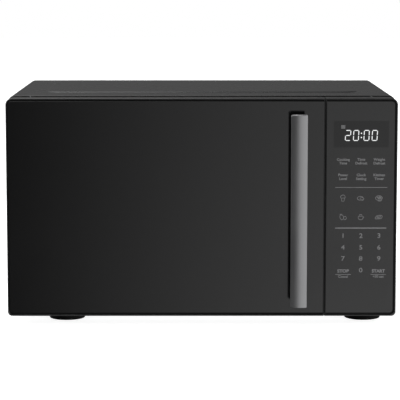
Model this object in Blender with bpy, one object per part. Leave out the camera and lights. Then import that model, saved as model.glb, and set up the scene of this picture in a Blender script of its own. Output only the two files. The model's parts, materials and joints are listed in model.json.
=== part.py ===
"""A countertop microwave oven: steel case, side-hung glass door with a bar handle, and its works.

Metres, +Z up. The front faces -Y. The origin is on the floor, under the middle of the whole oven.
"""

import math

import bmesh
import bpy
from mathutils import Matrix, Vector

# Overall sizes
WIDTH = 0.483
FACE_HEIGHT = 0.2715
BODY_DEPTH = 0.348
HANDLE_PROJECTION = 0.038
FOOT_HEIGHT = 0.012

# Sheet metal, gaps and round corners
SHEET = 0.001
CLEAR = 0.0003
CASE_BEND = 0.009
FACE_TOP_RADIUS = 0.008
FACE_LOW_RADIUS = 0.0053
ARC_STEPS = 5

# Raised field on the top of the case
FIELD_MARGIN_X = 0.0415
FIELD_MARGIN_FRONT = 0.092
FIELD_MARGIN_BACK = 0.013
FIELD_RISE = 0.0018
FIELD_SLOPE = 0.002
FIELD_RADIUS = 0.020

# Door and control panel
DOOR_DEPTH = 0.0312
SEAM = 0.0013
SIDE_RELIEF = 0.0003
PANEL_WIDTH = 0.0878
DOOR_GAP = 0.002
GLASS = 0.003
FASCIA = 0.002
KEY_FILM = 0.0005
RIM_LEFT = 0.0024
RIM_TOP = 0.0037
RIM_LOW = 0.004
RIM_RIGHT = 0.0036
RIM_MIDDLE = 0.0008
RIM_STEP = 0.0004
FRAME_WALL = 0.0025
DOOR_COLUMN = 0.0162
COLUMN_BLOCK = 0.035

# Hinges
HINGE_INSET = 0.0087
HINGE_ARM = 0.0055
HINGE_PLATE = 0.002
HINGE_SLOT = 0.005
HINGE_FROM_TOP = 0.0105
HINGE_FROM_LOW = 0.008
HINGE_PIN = 0.0025
HINGE_PIN_LENGTH = 0.011
HINGE_LEAF = 0.024
PIN_PLAY = 0.0004

# Door window, choke and screen
CHOKE_FRONT = 0.010
CHOKE_REAR = 0.0275
CHOKE_LIP_LEFT = 0.0106
POCKET_STEP = 0.0005
CHOKE_LIP_RIGHT = 0.015
CHOKE_LIP_LOW = 0.012
CHOKE_LIP_TOP = 0.016
CHOKE_INSET = 0.004
WINDOW_BORDER = 0.025
SCREEN_SHEET = 0.0006
INNER_WINDOW = 0.001
COVER_INSET = 0.0015

# Latch
LATCH_INSET = 0.018
HOOK_WIDTH = 0.005
HOOK_HEIGHT = 0.006
HOOK_NOSE = 0.006
HOOK_REACH = 0.0185
HOOK_FROM_CEILING = 0.034
HOOK_FROM_FLOOR = 0.034
KEY_DEPTH = 0.008
KEY_FRONT = 0.016
KEY_TRAVEL = 0.004
SLOT_PLAY = 0.0015
SWING_PLAY = 0.0025
SPRING_LENGTH = 0.018
SPRING_RADIUS = 0.0028
SPRING_WIRE = 0.0005
SPRING_TURNS = 6

# Handle
HANDLE_WIDTH = 0.020
HANDLE_DEPTH = 0.012
HANDLE_BACK_WIDTH = 0.014
HANDLE_RIGHT_GAP = 0.0227
HANDLE_FROM_TOP = 0.018
HANDLE_FROM_LOW = 0.0168
HANDLE_CUT = 0.003
POST_WIDTH = 0.012
POST_HEIGHT = 0.020
POST_INSET = 0.006
HANDLE_SCREW = 0.002
SCREW_HEAD = 0.004
SCREW_HEAD_DEPTH = 0.0015

# Oven cavity
MARGIN_LEFT = 0.0285
BAY_WIDTH = 0.1345
MARGIN_FLOOR = 0.026
MARGIN_TOP = 0.0375
MARGIN_BACK = 0.017

# Turntable
TRAY_RADIUS = 0.135
TRAY_THICKNESS = 0.0045
TRAY_RIM = 0.014
TRAY_FLAT = 0.118
WHEEL_RADIUS = 0.007
WHEEL_WIDTH = 0.006
WHEEL_ORBIT = 0.098
WHEEL_BORE = 0.002
AXLE_RADIUS = 0.0015
RING_INNER = 0.080
RING_OUTER = 0.087
RING_HEIGHT = 0.006
WHEELS = 3
COUPLER_HUB = 0.009
COUPLER_ARM = 0.019
COUPLER_ARM_WIDTH = 0.006
COUPLER_SHAFT = 0.0035
LUG_HEIGHT = 0.0035
MOTOR_RADIUS = 0.0245
MOTOR_HEIGHT = 0.0145
MOTOR_BORE_DEPTH = 0.008

# Microwave source and cooling
GUIDE_DEPTH = 0.030
GUIDE_WIDTH = 0.090
GUIDE_HEIGHT = 0.060
GUIDE_FROM_BACK = 0.100
GUIDE_FROM_CEILING = 0.062
PORT_BORDER = 0.008
MAGNETRON_LENGTH = 0.070
MAGNETRON_WIDTH = 0.084
MAGNETRON_HEIGHT = 0.066
MAGNETRON_CORE = 0.020
MAGNETRON_FINS = 6
ANTENNA_RADIUS = 0.0075
ANTENNA_LENGTH = 0.021
COVER_SHEET = 0.0008
COVER_BORDER = 0.012
FAN_SIZE = 0.112
FAN_DEPTH = 0.030
FAN_OPENING = 0.050
FAN_GUARD_SHARE = 0.92
FAN_BLADE = 0.046
FAN_HUB = 0.012
FAN_BLADES = 5
FAN_MOTOR = 0.019
FAN_MOTOR_DEPTH = 0.011
FAN_BRIDGE = 0.003
DUCT_WIDTH = 0.060
DUCT_WALL = 0.0012
LAMP_FRONT = 0.069
LAMP_FROM_CEILING = 0.022
LAMP_CAN = 0.014
LAMP_CAN_DEPTH = 0.026
BULB_RADIUS = 0.008

# Electronics
TRAY_POST = 0.007
BOARD = 0.0016
INVERTER_LENGTH = 0.130
INVERTER_WIDTH = 0.086
SINK_WIDTH = 0.026
SINK_LENGTH = 0.080
SINK_HEIGHT = 0.034
SINK_FINS = 5
CORE_WIDTH = 0.036
CORE_LENGTH = 0.046
CORE_HEIGHT = 0.036
SWITCH_LENGTH = 0.028
SWITCH_HEIGHT = 0.016
SWITCH_THICK = 0.010
PLUNGER_WIDTH = 0.003
PLUNGER_OUT = 0.0035
PLUNGER_IN = 0.004
PLUNGER_PLAY = 0.0004
PLUNGER_BORE = 0.006
DISPLAY_LEFT = 0.0098
DISPLAY_WIDTH = 0.0682
DISPLAY_FROM_TOP = 0.0276
DISPLAY_HEIGHT = 0.0328
FILTER_WIDTH = 0.075
FILTER_HEIGHT = 0.058

# Back, vents and feet
BACK_INSET = 0.0018
BASE_RAISE = 0.001
BASE_FLANGE = 0.010
FOOT_LOW_RADIUS = 0.0225
FOOT_TOP_RADIUS = 0.026
FOOT_SETBACK = 0.0265
FOOT_BACK = 0.045
FOOT_LEFT = 0.0705
FOOT_RIGHT = 0.037
VENT_WIDTH = 0.003
VENT_PITCH = 0.007
VENT_HEIGHT = 0.022
SIDE_VENTS = 12
BACK_VENTS = 11
GROMMET_RADIUS = 0.008
GROMMET_FLANGE = 0.011
GROMMET_BORE = 0.0035

# Places that follow from the sizes
left = -WIDTH / 2
right = WIDTH / 2
front = (HANDLE_PROJECTION - BODY_DEPTH) / 2
back = front + BODY_DEPTH
face_low = FOOT_HEIGHT
face_high = FOOT_HEIGHT + FACE_HEIGHT
door_rear = front + DOOR_DEPTH
case_front = door_rear + SEAM
plate_rear = case_front + SHEET
inside_left = left + SHEET + CLEAR
inside_right = right - SHEET - CLEAR
inside_top = face_high - SHEET - CLEAR
base_low = face_low + BASE_RAISE
base_high = base_low + SHEET
rear_outer = back - BACK_INSET
rear_inner = rear_outer - SHEET
door_left = left + SIDE_RELIEF
panel_right = right - SIDE_RELIEF
panel_left = panel_right - PANEL_WIDTH + SIDE_RELIEF
door_right = panel_left - DOOR_GAP
hinge_x = door_left + HINGE_INSET
hinge_y = door_rear - HINGE_INSET
cavity_left = left + MARGIN_LEFT
cavity_right = right - BAY_WIDTH
cavity_floor = face_low + MARGIN_FLOOR
cavity_ceiling = face_high - MARGIN_TOP
cavity_back = back - MARGIN_BACK
cavity_front = plate_rear + CLEAR
table_x = (cavity_left + cavity_right) / 2
table_y = (cavity_front + cavity_back) / 2
bay_left = cavity_right + SHEET + CLEAR
bay_middle = (bay_left + inside_right) / 2
guide_y = cavity_back - GUIDE_FROM_BACK
guide_z = cavity_ceiling - GUIDE_FROM_CEILING
latch_x = door_right - LATCH_INSET
pocket_left = door_left + DOOR_COLUMN
pocket_right = door_right - FRAME_WALL - POCKET_STEP
pocket_low = face_low + RIM_LOW
pocket_high = face_high - RIM_LOW
glass_rear = front + GLASS
frame_front = front + RIM_STEP
glass_seat = glass_rear + CLEAR
wall_rear = glass_seat + FRAME_WALL
choke_front = front + CHOKE_FRONT
choke_rear = front + CHOKE_REAR
upper_hook = cavity_ceiling - HOOK_FROM_CEILING
lower_hook = cavity_floor + HOOK_FROM_FLOOR
key_front = front + KEY_FRONT
key_rear = key_front + KEY_DEPTH
nose_rear = case_front + HOOK_REACH
handle_right = door_right - HANDLE_RIGHT_GAP
handle_left = handle_right - HANDLE_WIDTH
handle_x = (handle_left + handle_right) / 2
handle_front = front - HANDLE_PROJECTION
handle_rear = handle_front + HANDLE_DEPTH
handle_high = face_high - HANDLE_FROM_TOP
handle_low = face_low + HANDLE_FROM_LOW
wheel_z = cavity_floor + CLEAR + WHEEL_RADIUS
tray_low = wheel_z + WHEEL_RADIUS + CLEAR
seat_z = cavity_floor - SHEET - CLEAR


def clear_scene():
    for item in list(bpy.data.objects):
        bpy.data.objects.remove(item, do_unlink=True)


def material(name, colour, roughness, metallic=0.0, alpha=1.0):
    made = bpy.data.materials.new(name)
    made.use_nodes = True
    shader = made.node_tree.nodes["Principled BSDF"]
    shader.inputs["Base Color"].default_value = (*colour, 1.0)
    shader.inputs["Roughness"].default_value = roughness
    shader.inputs["Metallic"].default_value = metallic
    shader.inputs["Alpha"].default_value = alpha
    made.diffuse_color = (*colour, alpha)
    return made


def finish(name, work, made_of=None):
    """Turns a bmesh into a linked object and frees it."""
    bmesh.ops.recalc_face_normals(work, faces=work.faces)
    mesh = bpy.data.meshes.new(name)
    work.to_mesh(mesh)
    work.free()
    item = bpy.data.objects.new(name, mesh)
    bpy.context.scene.collection.objects.link(item)
    if made_of:
        mesh.materials.append(made_of)
    return item


def block(name, low, high, made_of=None):
    work = bmesh.new()
    low, high = Vector(low), Vector(high)
    bmesh.ops.create_cube(work, size=1.0)
    for vertex in work.verts:
        for axis in range(3):
            vertex.co[axis] = high[axis] if vertex.co[axis] > 0 else low[axis]
    return finish(name, work, made_of)


def loft(name, rings, made_of=None):
    """A closed solid through rings of equally many points, with a flat cap at each end."""
    work = bmesh.new()
    loops = [[work.verts.new(point) for point in ring] for ring in rings]
    for lower, upper in zip(loops, loops[1:]):
        for index in range(len(lower)):
            following = (index + 1) % len(lower)
            work.faces.new((lower[index], lower[following], upper[following], upper[index]))
    work.faces.new(loops[0])
    work.faces.new(loops[-1])
    return finish(name, work, made_of)


def rod(name, start, end, radius, made_of=None, end_radius=None, sides=20):
    """A cylinder or a cone between two points."""
    start, end = Vector(start), Vector(end)
    turn = (end - start).to_track_quat("Z", "Y").to_matrix()
    rings = []
    for centre, size in ((start, radius), (end, end_radius or radius)):
        angles = (math.tau * step / sides for step in range(sides))
        rings.append([centre + turn @ Vector((size * math.cos(a), size * math.sin(a), 0)) for a in angles])
    return loft(name, rings, made_of)


def turned(name, profile, place, made_of=None, sides=32):
    """Spins (radius, height) points about a vertical axis; an inner wall leaves a bore."""
    rings = []
    for step in range(sides):
        angle = math.tau * step / sides
        rings.append([Vector((r * math.cos(angle), r * math.sin(angle), z)) + Vector(place)
            for r, z in profile])
    work = bmesh.new()
    loops = [[work.verts.new(point) for point in ring] for ring in rings]
    for one, other in zip(loops, loops[1:] + loops[:1]):
        for index in range(len(profile)):
            following = (index + 1) % len(profile)
            work.faces.new((one[index], one[following], other[following], other[index]))
    return finish(name, work, made_of)


def ring_block(name, outer, inner, near, far, made_of=None):
    """A rectangular frame in the XZ plane from y = near to y = far; outer and inner are (x, z, x, z)."""
    work = bmesh.new()
    loops = []
    for box, y in ((outer, near), (outer, far), (inner, far), (inner, near)):
        corners = ((box[0], box[1]), (box[2], box[1]), (box[2], box[3]), (box[0], box[3]))
        loops.append([work.verts.new((x, y, z)) for x, z in corners])
    for one, other in zip(loops, loops[1:] + loops[:1]):
        for index in range(4):
            following = (index + 1) % 4
            work.faces.new((one[index], one[following], other[following], other[index]))
    return finish(name, work, made_of)


def prism_y(name, outline, near, far, made_of=None):
    """An (x, z) outline carried from y = near to y = far."""
    return loft(name, [[(x, y, z) for x, z in outline] for y in (near, far)], made_of)


def prism_z(name, outline, low, high, made_of=None):
    """An (x, y) outline carried from z = low to z = high."""
    return loft(name, [[(x, y, z) for x, y in outline] for z in (low, high)], made_of)


def arc(centre, radius, start, stop, steps=ARC_STEPS):
    """Points of an arc, angles in degrees."""
    points = []
    for step in range(steps + 1):
        angle = math.radians(start + (stop - start) * step / steps)
        points.append((centre[0] + radius * math.cos(angle), centre[1] + radius * math.sin(angle)))
    return points


def rounded(low, high, radii):
    """A rectangle with round corners: lower right, upper right, upper left, lower left."""
    signs = ((1, -1, -90), (1, 1, 0), (-1, 1, 90), (-1, -1, 180))
    points = []
    for (sign_x, sign_z, start), radius in zip(signs, radii):
        corner_x = high[0] if sign_x > 0 else low[0]
        corner_z = high[1] if sign_z > 0 else low[1]
        if radius <= 0:
            points.append((corner_x, corner_z))
            continue
        centre = (corner_x - sign_x * radius, corner_z - sign_z * radius)
        points += arc(centre, radius, start, start + 90)
    return points


def tool(item):
    """Marks a cutter or a joined shape, which is not a piece by itself."""
    item.hide_render = True
    item.display_type = "WIRE"
    return item


def combine(item, operation, others):
    for other in others:
        step = item.modifiers.new(f"{operation.lower()} {other.name}", "BOOLEAN")
        step.operation = operation
        step.solver = "EXACT"
        step.object = tool(other)
    return item


def cut(item, *others):
    return combine(item, "DIFFERENCE", others)


def join(item, *others):
    return combine(item, "UNION", others)


def smooth(item, angle=35):
    item.data.shade_smooth()
    item.data.set_sharp_from_angle(angle=math.radians(angle))
    return item


def pivot(name, place):
    """An empty on a joint's axis, which carries the pieces that turn or slide with it."""
    item = bpy.data.objects.new(name, None)
    item.location = place
    item.empty_display_size = 0.02
    bpy.context.scene.collection.objects.link(item)
    return item


def carry(holder, *items):
    """Hangs pieces on a pivot and leaves them where they are."""
    for item in items:
        item.parent = holder
        item.matrix_parent_inverse = Matrix.Translation(-holder.location)


def many(name, boxes):
    """One cutter of several boxes that do not meet."""
    work = bmesh.new()
    for low, high in boxes:
        made = bmesh.ops.create_cube(work, size=1.0)["verts"]
        for vertex in made:
            for axis in range(3):
                vertex.co[axis] = high[axis] if vertex.co[axis] > 0 else low[axis]
    return finish(name, work)


def make_materials():
    return {
        "case": material("black_coated_steel", (0.035, 0.035, 0.036), 0.45),
        "zinc": material("zinc_plated_steel", (0.55, 0.56, 0.57), 0.35, 0.9),
        "enamel": material("grey_enamel", (0.30, 0.31, 0.31), 0.4),
        "frame": material("black_moulded_plastic", (0.02, 0.02, 0.021), 0.4),
        "glass": material("black_glass", (0.012, 0.012, 0.013), 0.06),
        "screen": material("black_screen_steel", (0.02, 0.02, 0.02), 0.5, 0.6),
        "clear": material("clear_window_sheet", (0.75, 0.78, 0.78), 0.05, 0.0, 0.3),
        "handle": material("grey_metal_handle", (0.30, 0.30, 0.31), 0.32, 0.9),
        "tray": material("clear_tray_glass", (0.80, 0.86, 0.85), 0.04, 0.0, 0.4),
        "pale": material("pale_plastic", (0.75, 0.74, 0.70), 0.5),
        "mica": material("mica_sheet", (0.55, 0.47, 0.36), 0.6),
        "copper": material("copper_winding", (0.60, 0.28, 0.12), 0.35, 0.8),
        "board": material("green_circuit_board", (0.03, 0.18, 0.08), 0.5),
        "alloy": material("cast_aluminium", (0.62, 0.63, 0.64), 0.4, 0.9),
        "ferrite": material("dark_ferrite", (0.05, 0.05, 0.055), 0.6),
        "switch": material("switch_plastic", (0.10, 0.10, 0.11), 0.5),
        "red": material("red_plunger_plastic", (0.55, 0.05, 0.04), 0.4),
        "bulb": material("lamp_glass", (0.9, 0.88, 0.8), 0.1),
        "display": material("display_glass", (0.03, 0.035, 0.04), 0.15),
        "rubber": material("black_rubber", (0.02, 0.02, 0.02), 0.8),
    }


def case_profile(inset):
    """The case's upside-down U, as the half of its section that lies this far inside."""
    points = [(right - inset, face_low)]
    radius = CASE_BEND - inset
    points += arc((right - CASE_BEND, face_high - CASE_BEND), radius, 0, 90)
    points += arc((left + CASE_BEND, face_high - CASE_BEND), radius, 90, 180)
    points.append((left + inset, face_low))
    return points


def field_solid(name, shrink, low, high):
    """The raised field's block, wider at its foot; shrink is for the hollow under it."""
    rings = []
    for height, slope in ((low, 0.0), (high, FIELD_SLOPE)):
        inset = shrink + slope
        corner_low = (left + FIELD_MARGIN_X + inset, front + FIELD_MARGIN_FRONT + inset)
        corner_high = (right - FIELD_MARGIN_X - inset, back - FIELD_MARGIN_BACK - inset)
        outline = rounded(corner_low, corner_high, [FIELD_RADIUS - inset] * 4)
        rings.append([(x, y, height) for x, y in outline])
    return loft(name, rings)


def make_case(looks):
    outline = case_profile(0.0) + case_profile(SHEET)[::-1]
    case = prism_y("outer_case", outline, case_front, back, looks["case"])
    field_low = face_high - SHEET / 2
    join(case, field_solid("field", 0.0, field_low, face_high + FIELD_RISE))
    cut(case, field_solid("field_hollow", SHEET, face_high - 2 * SHEET, face_high + FIELD_RISE - SHEET))
    vents = []
    for column in range(SIDE_VENTS):
        y = back - 0.045 - column * VENT_PITCH
        for low in (cavity_floor + 0.010, cavity_floor + 0.045):
            vents.append(((right - 0.005, y, low), (right + 0.005, y + VENT_WIDTH, low + VENT_HEIGHT)))
    cut(case, many("side_vents", vents))
    return smooth(case)


def fan_centre():
    return bay_middle, guide_z


def filter_low():
    return cavity_floor + 0.004


def grommet_place():
    return inside_left + 0.030, base_high + 0.018


def screw_places():
    """Where the four screws hold the back panel."""
    low, high = base_high + 0.045, inside_top - 0.015
    return [(x, z) for x in (inside_left + 0.012, inside_right - 0.012) for z in (low, high)]


def make_back(looks):
    bend = CASE_BEND - SHEET - CLEAR
    outline = rounded((inside_left, base_high + CLEAR), (inside_right, inside_top), [0, bend, bend, 0])
    panel = prism_y("rear_panel", outline, rear_inner, rear_outer, looks["case"])
    fan_x, fan_z = fan_centre()
    vents = []
    for column in range(BACK_VENTS):
        x = fan_x + (column - (BACK_VENTS - 1) / 2) * VENT_PITCH
        for row in (-1.5, -0.5, 0.5):
            z = fan_z + row * (VENT_HEIGHT + 0.004) + 0.006
            vents.append(((x - VENT_WIDTH / 2, rear_inner - 0.01, z),
                (x + VENT_WIDTH / 2, back, z + VENT_HEIGHT)))
    for column in range(BACK_VENTS):
        x = cavity_left + 0.030 + column * VENT_PITCH
        low = cavity_floor + 0.030
        vents.append(((x - VENT_WIDTH / 2, rear_inner - 0.01, low),
            (x + VENT_WIDTH / 2, back, low + VENT_HEIGHT)))
    cut(panel, many("back_vents", vents))
    holes = []
    for index, (x, z) in enumerate(screw_places()):
        radius = HANDLE_SCREW + PIN_PLAY
        holes.append(rod(f"screw_hole_{index}", (x, rear_inner - 0.01, z), (x, back, z), radius, sides=12))
    gland_x, gland_z = grommet_place()
    radius = GROMMET_RADIUS + CLEAR
    holes.append(rod("gland_hole", (gland_x, rear_inner - 0.01, gland_z), (gland_x, back, gland_z), radius))
    cut(panel, *holes)
    pieces = [panel]
    for index, (x, z) in enumerate(screw_places()):
        name = f"rear_screw_{index + 1}"
        head_front = rear_outer + CLEAR
        head = rod(name, (x, head_front, z), (x, head_front + SCREW_HEAD_DEPTH, z), SCREW_HEAD,
            looks["zinc"], sides=12)
        join(head, rod(name + "_shank", (x, rear_inner - 0.006, z), (x, head_front + 0.0005, z),
            HANDLE_SCREW, sides=10))
        pieces.append(head)
    gland = rod("cord_grommet", (gland_x, rear_inner - 0.004, gland_z),
        (gland_x, rear_outer + 0.0008, gland_z),
                GROMMET_RADIUS, looks["rubber"])
    join(gland, rod("gland_flange", (gland_x, rear_outer + CLEAR, gland_z),
        (gland_x, back - CLEAR, gland_z),
                    GROMMET_FLANGE))
    cut(gland, rod("gland_bore", (gland_x, rear_inner - 0.01, gland_z), (gland_x, back + 0.01, gland_z),
        GROMMET_BORE,
                   sides=12))
    return pieces + [gland]


def make_base(looks):
    base = block("base_plate", (inside_left, plate_rear + CLEAR, base_low),
        (inside_right, rear_inner - CLEAR, base_high),
                 looks["zinc"])
    top = base_high + BASE_FLANGE
    rear = rear_inner - CLEAR
    join(base, block("base_left", (inside_left, plate_rear + 0.002, base_low),
        (inside_left + SHEET, rear, top)))
    join(base, block("base_right", (inside_right - SHEET, plate_rear + 0.002, base_low),
        (inside_right, rear, top)))
    gland_x = grommet_place()[0]
    far = gland_x + GROMMET_FLANGE + 0.004
    join(base, block("base_rear", (far, rear - SHEET, base_low), (inside_right - SHEET / 2, rear, top)))
    return base


def foot_places():
    front_y, back_y = case_front + FOOT_SETBACK, back - FOOT_BACK
    left_x, right_x = left + FOOT_LEFT, right - FOOT_RIGHT
    return {
        "front_left_foot": (left_x, front_y),
        "front_right_foot": (right_x, front_y),
        "rear_left_foot": (left_x, back_y),
        "rear_right_foot": (right_x, back_y),
    }


def make_feet(looks):
    top = base_low - CLEAR
    feet = []
    for name, (x, y) in foot_places().items():
        edge = FOOT_LOW_RADIUS - 0.0012
        profile = [(0.006, 0.0022), (0.006, 0.0), (edge, 0.0), (FOOT_LOW_RADIUS, 0.0012),
            (FOOT_TOP_RADIUS, top)]
        work = turned(name, profile + [(0.004, top), (0.004, 0.0022)], (x, y, 0.0), looks["rubber"], 24)
        feet.append(smooth(work))
    return feet


def hook_slots(name, near, far, extra=0.0):
    """Tall openings that the two latch hooks swing through."""
    boxes = []
    for middle in (upper_hook, lower_hook):
        low = middle - HOOK_HEIGHT / 2 - HOOK_NOSE - SLOT_PLAY - extra
        high = middle + HOOK_HEIGHT / 2 + KEY_TRAVEL + SLOT_PLAY + extra
        x_low = latch_x - HOOK_WIDTH / 2 - SWING_PLAY - extra
        x_high = latch_x + HOOK_WIDTH / 2 + SLOT_PLAY + extra
        boxes.append(((x_low, near, low), (x_high, far, high)))
    return many(name, boxes)


def make_front_plate(looks):
    bend = CASE_BEND - SHEET - CLEAR
    outline = rounded((inside_left, base_high + CLEAR), (inside_right, inside_top), [0, bend, bend, 0])
    plate = prism_y("front_plate", outline, case_front, plate_rear, looks["enamel"])
    low, high = case_front - 0.01, plate_rear + 0.01
    cut(plate, block("mouth", (cavity_left, low, cavity_floor), (cavity_right, high, cavity_ceiling)))
    cut(plate, hook_slots("plate_slots", low, high))
    cable_low = (panel_left + 0.014, low, base_high + 0.030)
    cut(plate, block("cable_window", cable_low, (inside_right - 0.012, high, inside_top - 0.045)))
    return plate


def make_cavity(looks):
    outer_low = (cavity_left - SHEET, cavity_front, cavity_floor - SHEET)
    outer_high = (cavity_right + SHEET, cavity_back + SHEET, cavity_ceiling + SHEET)
    liner = block("cavity_liner", outer_low, outer_high, looks["enamel"])
    inner_low = (cavity_left, cavity_front - 0.01, cavity_floor)
    cut(liner, block("cavity_space", inner_low, (cavity_right, cavity_back, cavity_ceiling)))
    below = (table_x, table_y, cavity_floor - 0.01)
    cut(liner, rod("coupler_hole", below, (table_x, table_y, cavity_floor + 0.01), COUPLER_SHAFT + 0.0025))
    near, far = cavity_right - 0.005, cavity_right + 0.005
    port_y = GUIDE_WIDTH / 2 - PORT_BORDER
    port_z = GUIDE_HEIGHT / 2 - PORT_BORDER
    port_low = (near, guide_y - port_y, guide_z - port_z)
    cut(liner, block("port", port_low, (far, guide_y + port_y, guide_z + port_z)))
    holes = []
    lamp_y, lamp_z = lamp_place()
    for column in range(-2, 3):
        y = lamp_y + column * 0.0045
        holes.append(((near, y - 0.0012, lamp_z - 0.008), (far, y + 0.0012, lamp_z + 0.008)))
    duct_y = duct_middle()
    for column in range(-4, 5):
        y = duct_y + column * 0.0055
        holes.append(((near, y - 0.0012, guide_z - 0.015), (far, y + 0.0012, guide_z + 0.015)))
    cut(liner, many("wall_slots", holes))
    middle = cavity_left + (cavity_right - cavity_left) / 2
    exits = []
    for column in range(-5, 6):
        x = middle + column * 0.006
        y_low, y_high = cavity_back - 0.005, cavity_back + 0.005
        exits.append(((x - 0.0012, y_low, cavity_ceiling - 0.032),
            (x + 0.0012, y_high, cavity_ceiling - 0.014)))
    cut(liner, many("exit_slots", exits))
    return liner


def lamp_place():
    return cavity_front + LAMP_FRONT, cavity_ceiling - LAMP_FROM_CEILING


def duct_middle():
    return guide_y - GUIDE_WIDTH / 2 - CLEAR - DUCT_WIDTH / 2


def make_microwave_source(looks):
    half_y, half_z = GUIDE_WIDTH / 2, GUIDE_HEIGHT / 2
    far = bay_left + GUIDE_DEPTH
    low, high = (bay_left, guide_y - half_y, guide_z - half_z), (far, guide_y + half_y, guide_z + half_z)
    guide = block("waveguide", low, high, looks["zinc"])
    inner_low = (bay_left - 0.01, low[1] + SHEET, low[2] + SHEET)
    cut(guide, block("guide_space", inner_low, (far - SHEET, high[1] - SHEET, high[2] - SHEET)))
    hole = ANTENNA_RADIUS + 0.002
    cut(guide, rod("antenna_hole", (far - 0.01, guide_y, guide_z), (far + 0.01, guide_y, guide_z), hole))
    cover_y, cover_z = half_y - PORT_BORDER + COVER_BORDER, half_z - PORT_BORDER + COVER_BORDER
    cover_far = cavity_right - CLEAR
    cover = block("waveguide_cover", (cover_far - COVER_SHEET, guide_y - cover_y, guide_z - cover_z),
                  (cover_far, guide_y + cover_y, guide_z + cover_z), looks["mica"])
    start = far + CLEAR
    end = start + MAGNETRON_LENGTH
    source = rod("magnetron", (start, guide_y, guide_z), (end, guide_y, guide_z), MAGNETRON_CORE,
        looks["alloy"])
    half_y, half_z = MAGNETRON_WIDTH / 2, MAGNETRON_HEIGHT / 2
    plate = 0.0015
    shapes = []
    for index, x in enumerate((start, end - plate)):
        shapes.append(block(f"yoke_end_{index}", (x, guide_y - half_y, guide_z - half_z),
                            (x + plate, guide_y + half_y, guide_z + half_z)))
    for index, z in enumerate((guide_z - half_z, guide_z + half_z - plate)):
        shapes.append(block(f"yoke_side_{index}", (start + plate / 2, guide_y - half_y, z),
                            (end - plate / 2, guide_y + half_y, z + plate)))
    for index in range(MAGNETRON_FINS):
        x = start + 0.016 + index * (MAGNETRON_LENGTH - 0.032) / (MAGNETRON_FINS - 1)
        shapes.append(block(f"fin_{index}", (x, guide_y - half_y + 0.004, guide_z - half_z + plate / 2),
                            (x + SHEET, guide_y + half_y - 0.004, guide_z + half_z - plate / 2)))
    shapes.append(rod("antenna", (start - ANTENNA_LENGTH, guide_y, guide_z),
        (start + 0.002, guide_y, guide_z),
                      ANTENNA_RADIUS, sides=16))
    join(source, *shapes)
    return [guide, cover, source]


def make_fan(looks):
    fan_x, fan_z = fan_centre()
    far = rear_inner - CLEAR
    near = far - FAN_DEPTH
    half = FAN_SIZE / 2
    shroud = block("fan_shroud", (fan_x - half, near, fan_z - half), (fan_x + half, far, fan_z + half),
        looks["frame"])
    tunnel = rod("fan_tunnel", (fan_x, near + FAN_BRIDGE, fan_z), (fan_x, far + 0.01, fan_z), FAN_OPENING,
        sides=28)
    cut(shroud, tunnel)
    side = FAN_OPENING * FAN_GUARD_SHARE
    gap = 0.004
    windows = []
    for index, (x_side, z_side) in enumerate(((-1, -1), (-1, 1), (1, -1), (1, 1))):
        inner = FAN_MOTOR * 0.35
        radius = FAN_OPENING - gap
        start = math.degrees(math.asin(inner / radius))
        points = arc((0, 0), radius, start, 90 - start, 6)
        points.append((inner, inner))
        outline = [(fan_x + x_side * x, fan_z + z_side * z) for x, z in points]
        windows.append(prism_y(f"fan_window_{index}", outline, near - 0.01, near + side))
    cut(shroud, *windows)
    motor_near = near + FAN_BRIDGE + CLEAR
    motor_far = motor_near + FAN_MOTOR_DEPTH
    motor = rod("fan_motor", (fan_x, motor_near, fan_z), (fan_x, motor_far, fan_z), FAN_MOTOR,
        looks["zinc"])
    bore_near = motor_far - 0.006
    cut(motor, rod("fan_motor_bore", (fan_x, bore_near, fan_z), (fan_x, motor_far + 0.01, fan_z), 0.0022,
        sides=12))
    hub_near = motor_far + CLEAR
    hub_far = far - 0.002
    blade = rod("fan_blade", (fan_x, hub_near, fan_z), (fan_x, hub_far, fan_z), FAN_HUB, looks["pale"])
    shapes = [rod("fan_pin", (fan_x, bore_near + 0.001, fan_z), (fan_x, hub_near + 0.001, fan_z), 0.0015,
        sides=10)]
    middle = (hub_near + hub_far) / 2
    chord = (hub_far - hub_near) * 0.5
    for index in range(FAN_BLADES):
        turn = math.tau * index / FAN_BLADES
        work = block(f"vane_{index}", (FAN_HUB * 0.7, -0.0008, -chord), (FAN_BLADE, 0.0008, chord))
        pitch = Matrix.Rotation(math.radians(62), 4, "X")
        spin = Matrix.Rotation(turn, 4, "Y")
        work.data.transform(Matrix.Translation((fan_x, middle, fan_z)) @ spin @ pitch)
        shapes.append(work)
    join(blade, *shapes)
    carry(pivot("fan_axis", (fan_x, middle, fan_z)), blade)
    return [shroud, motor, blade]


def make_duct(looks):
    middle = duct_middle()
    half_y, half_z = DUCT_WIDTH / 2, GUIDE_HEIGHT / 2
    far = bay_left + GUIDE_DEPTH + 0.012
    duct = block("air_duct", (bay_left, middle - half_y, guide_z - half_z),
        (far, middle + half_y, guide_z + half_z),
                 looks["pale"])
    wall = DUCT_WALL
    inner_low = (bay_left - 0.01, middle - half_y + wall, guide_z - half_z + wall)
    cut(duct, block("duct_space", inner_low, (far + 0.01, middle + half_y - wall, guide_z + half_z - wall)))
    return duct


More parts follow.
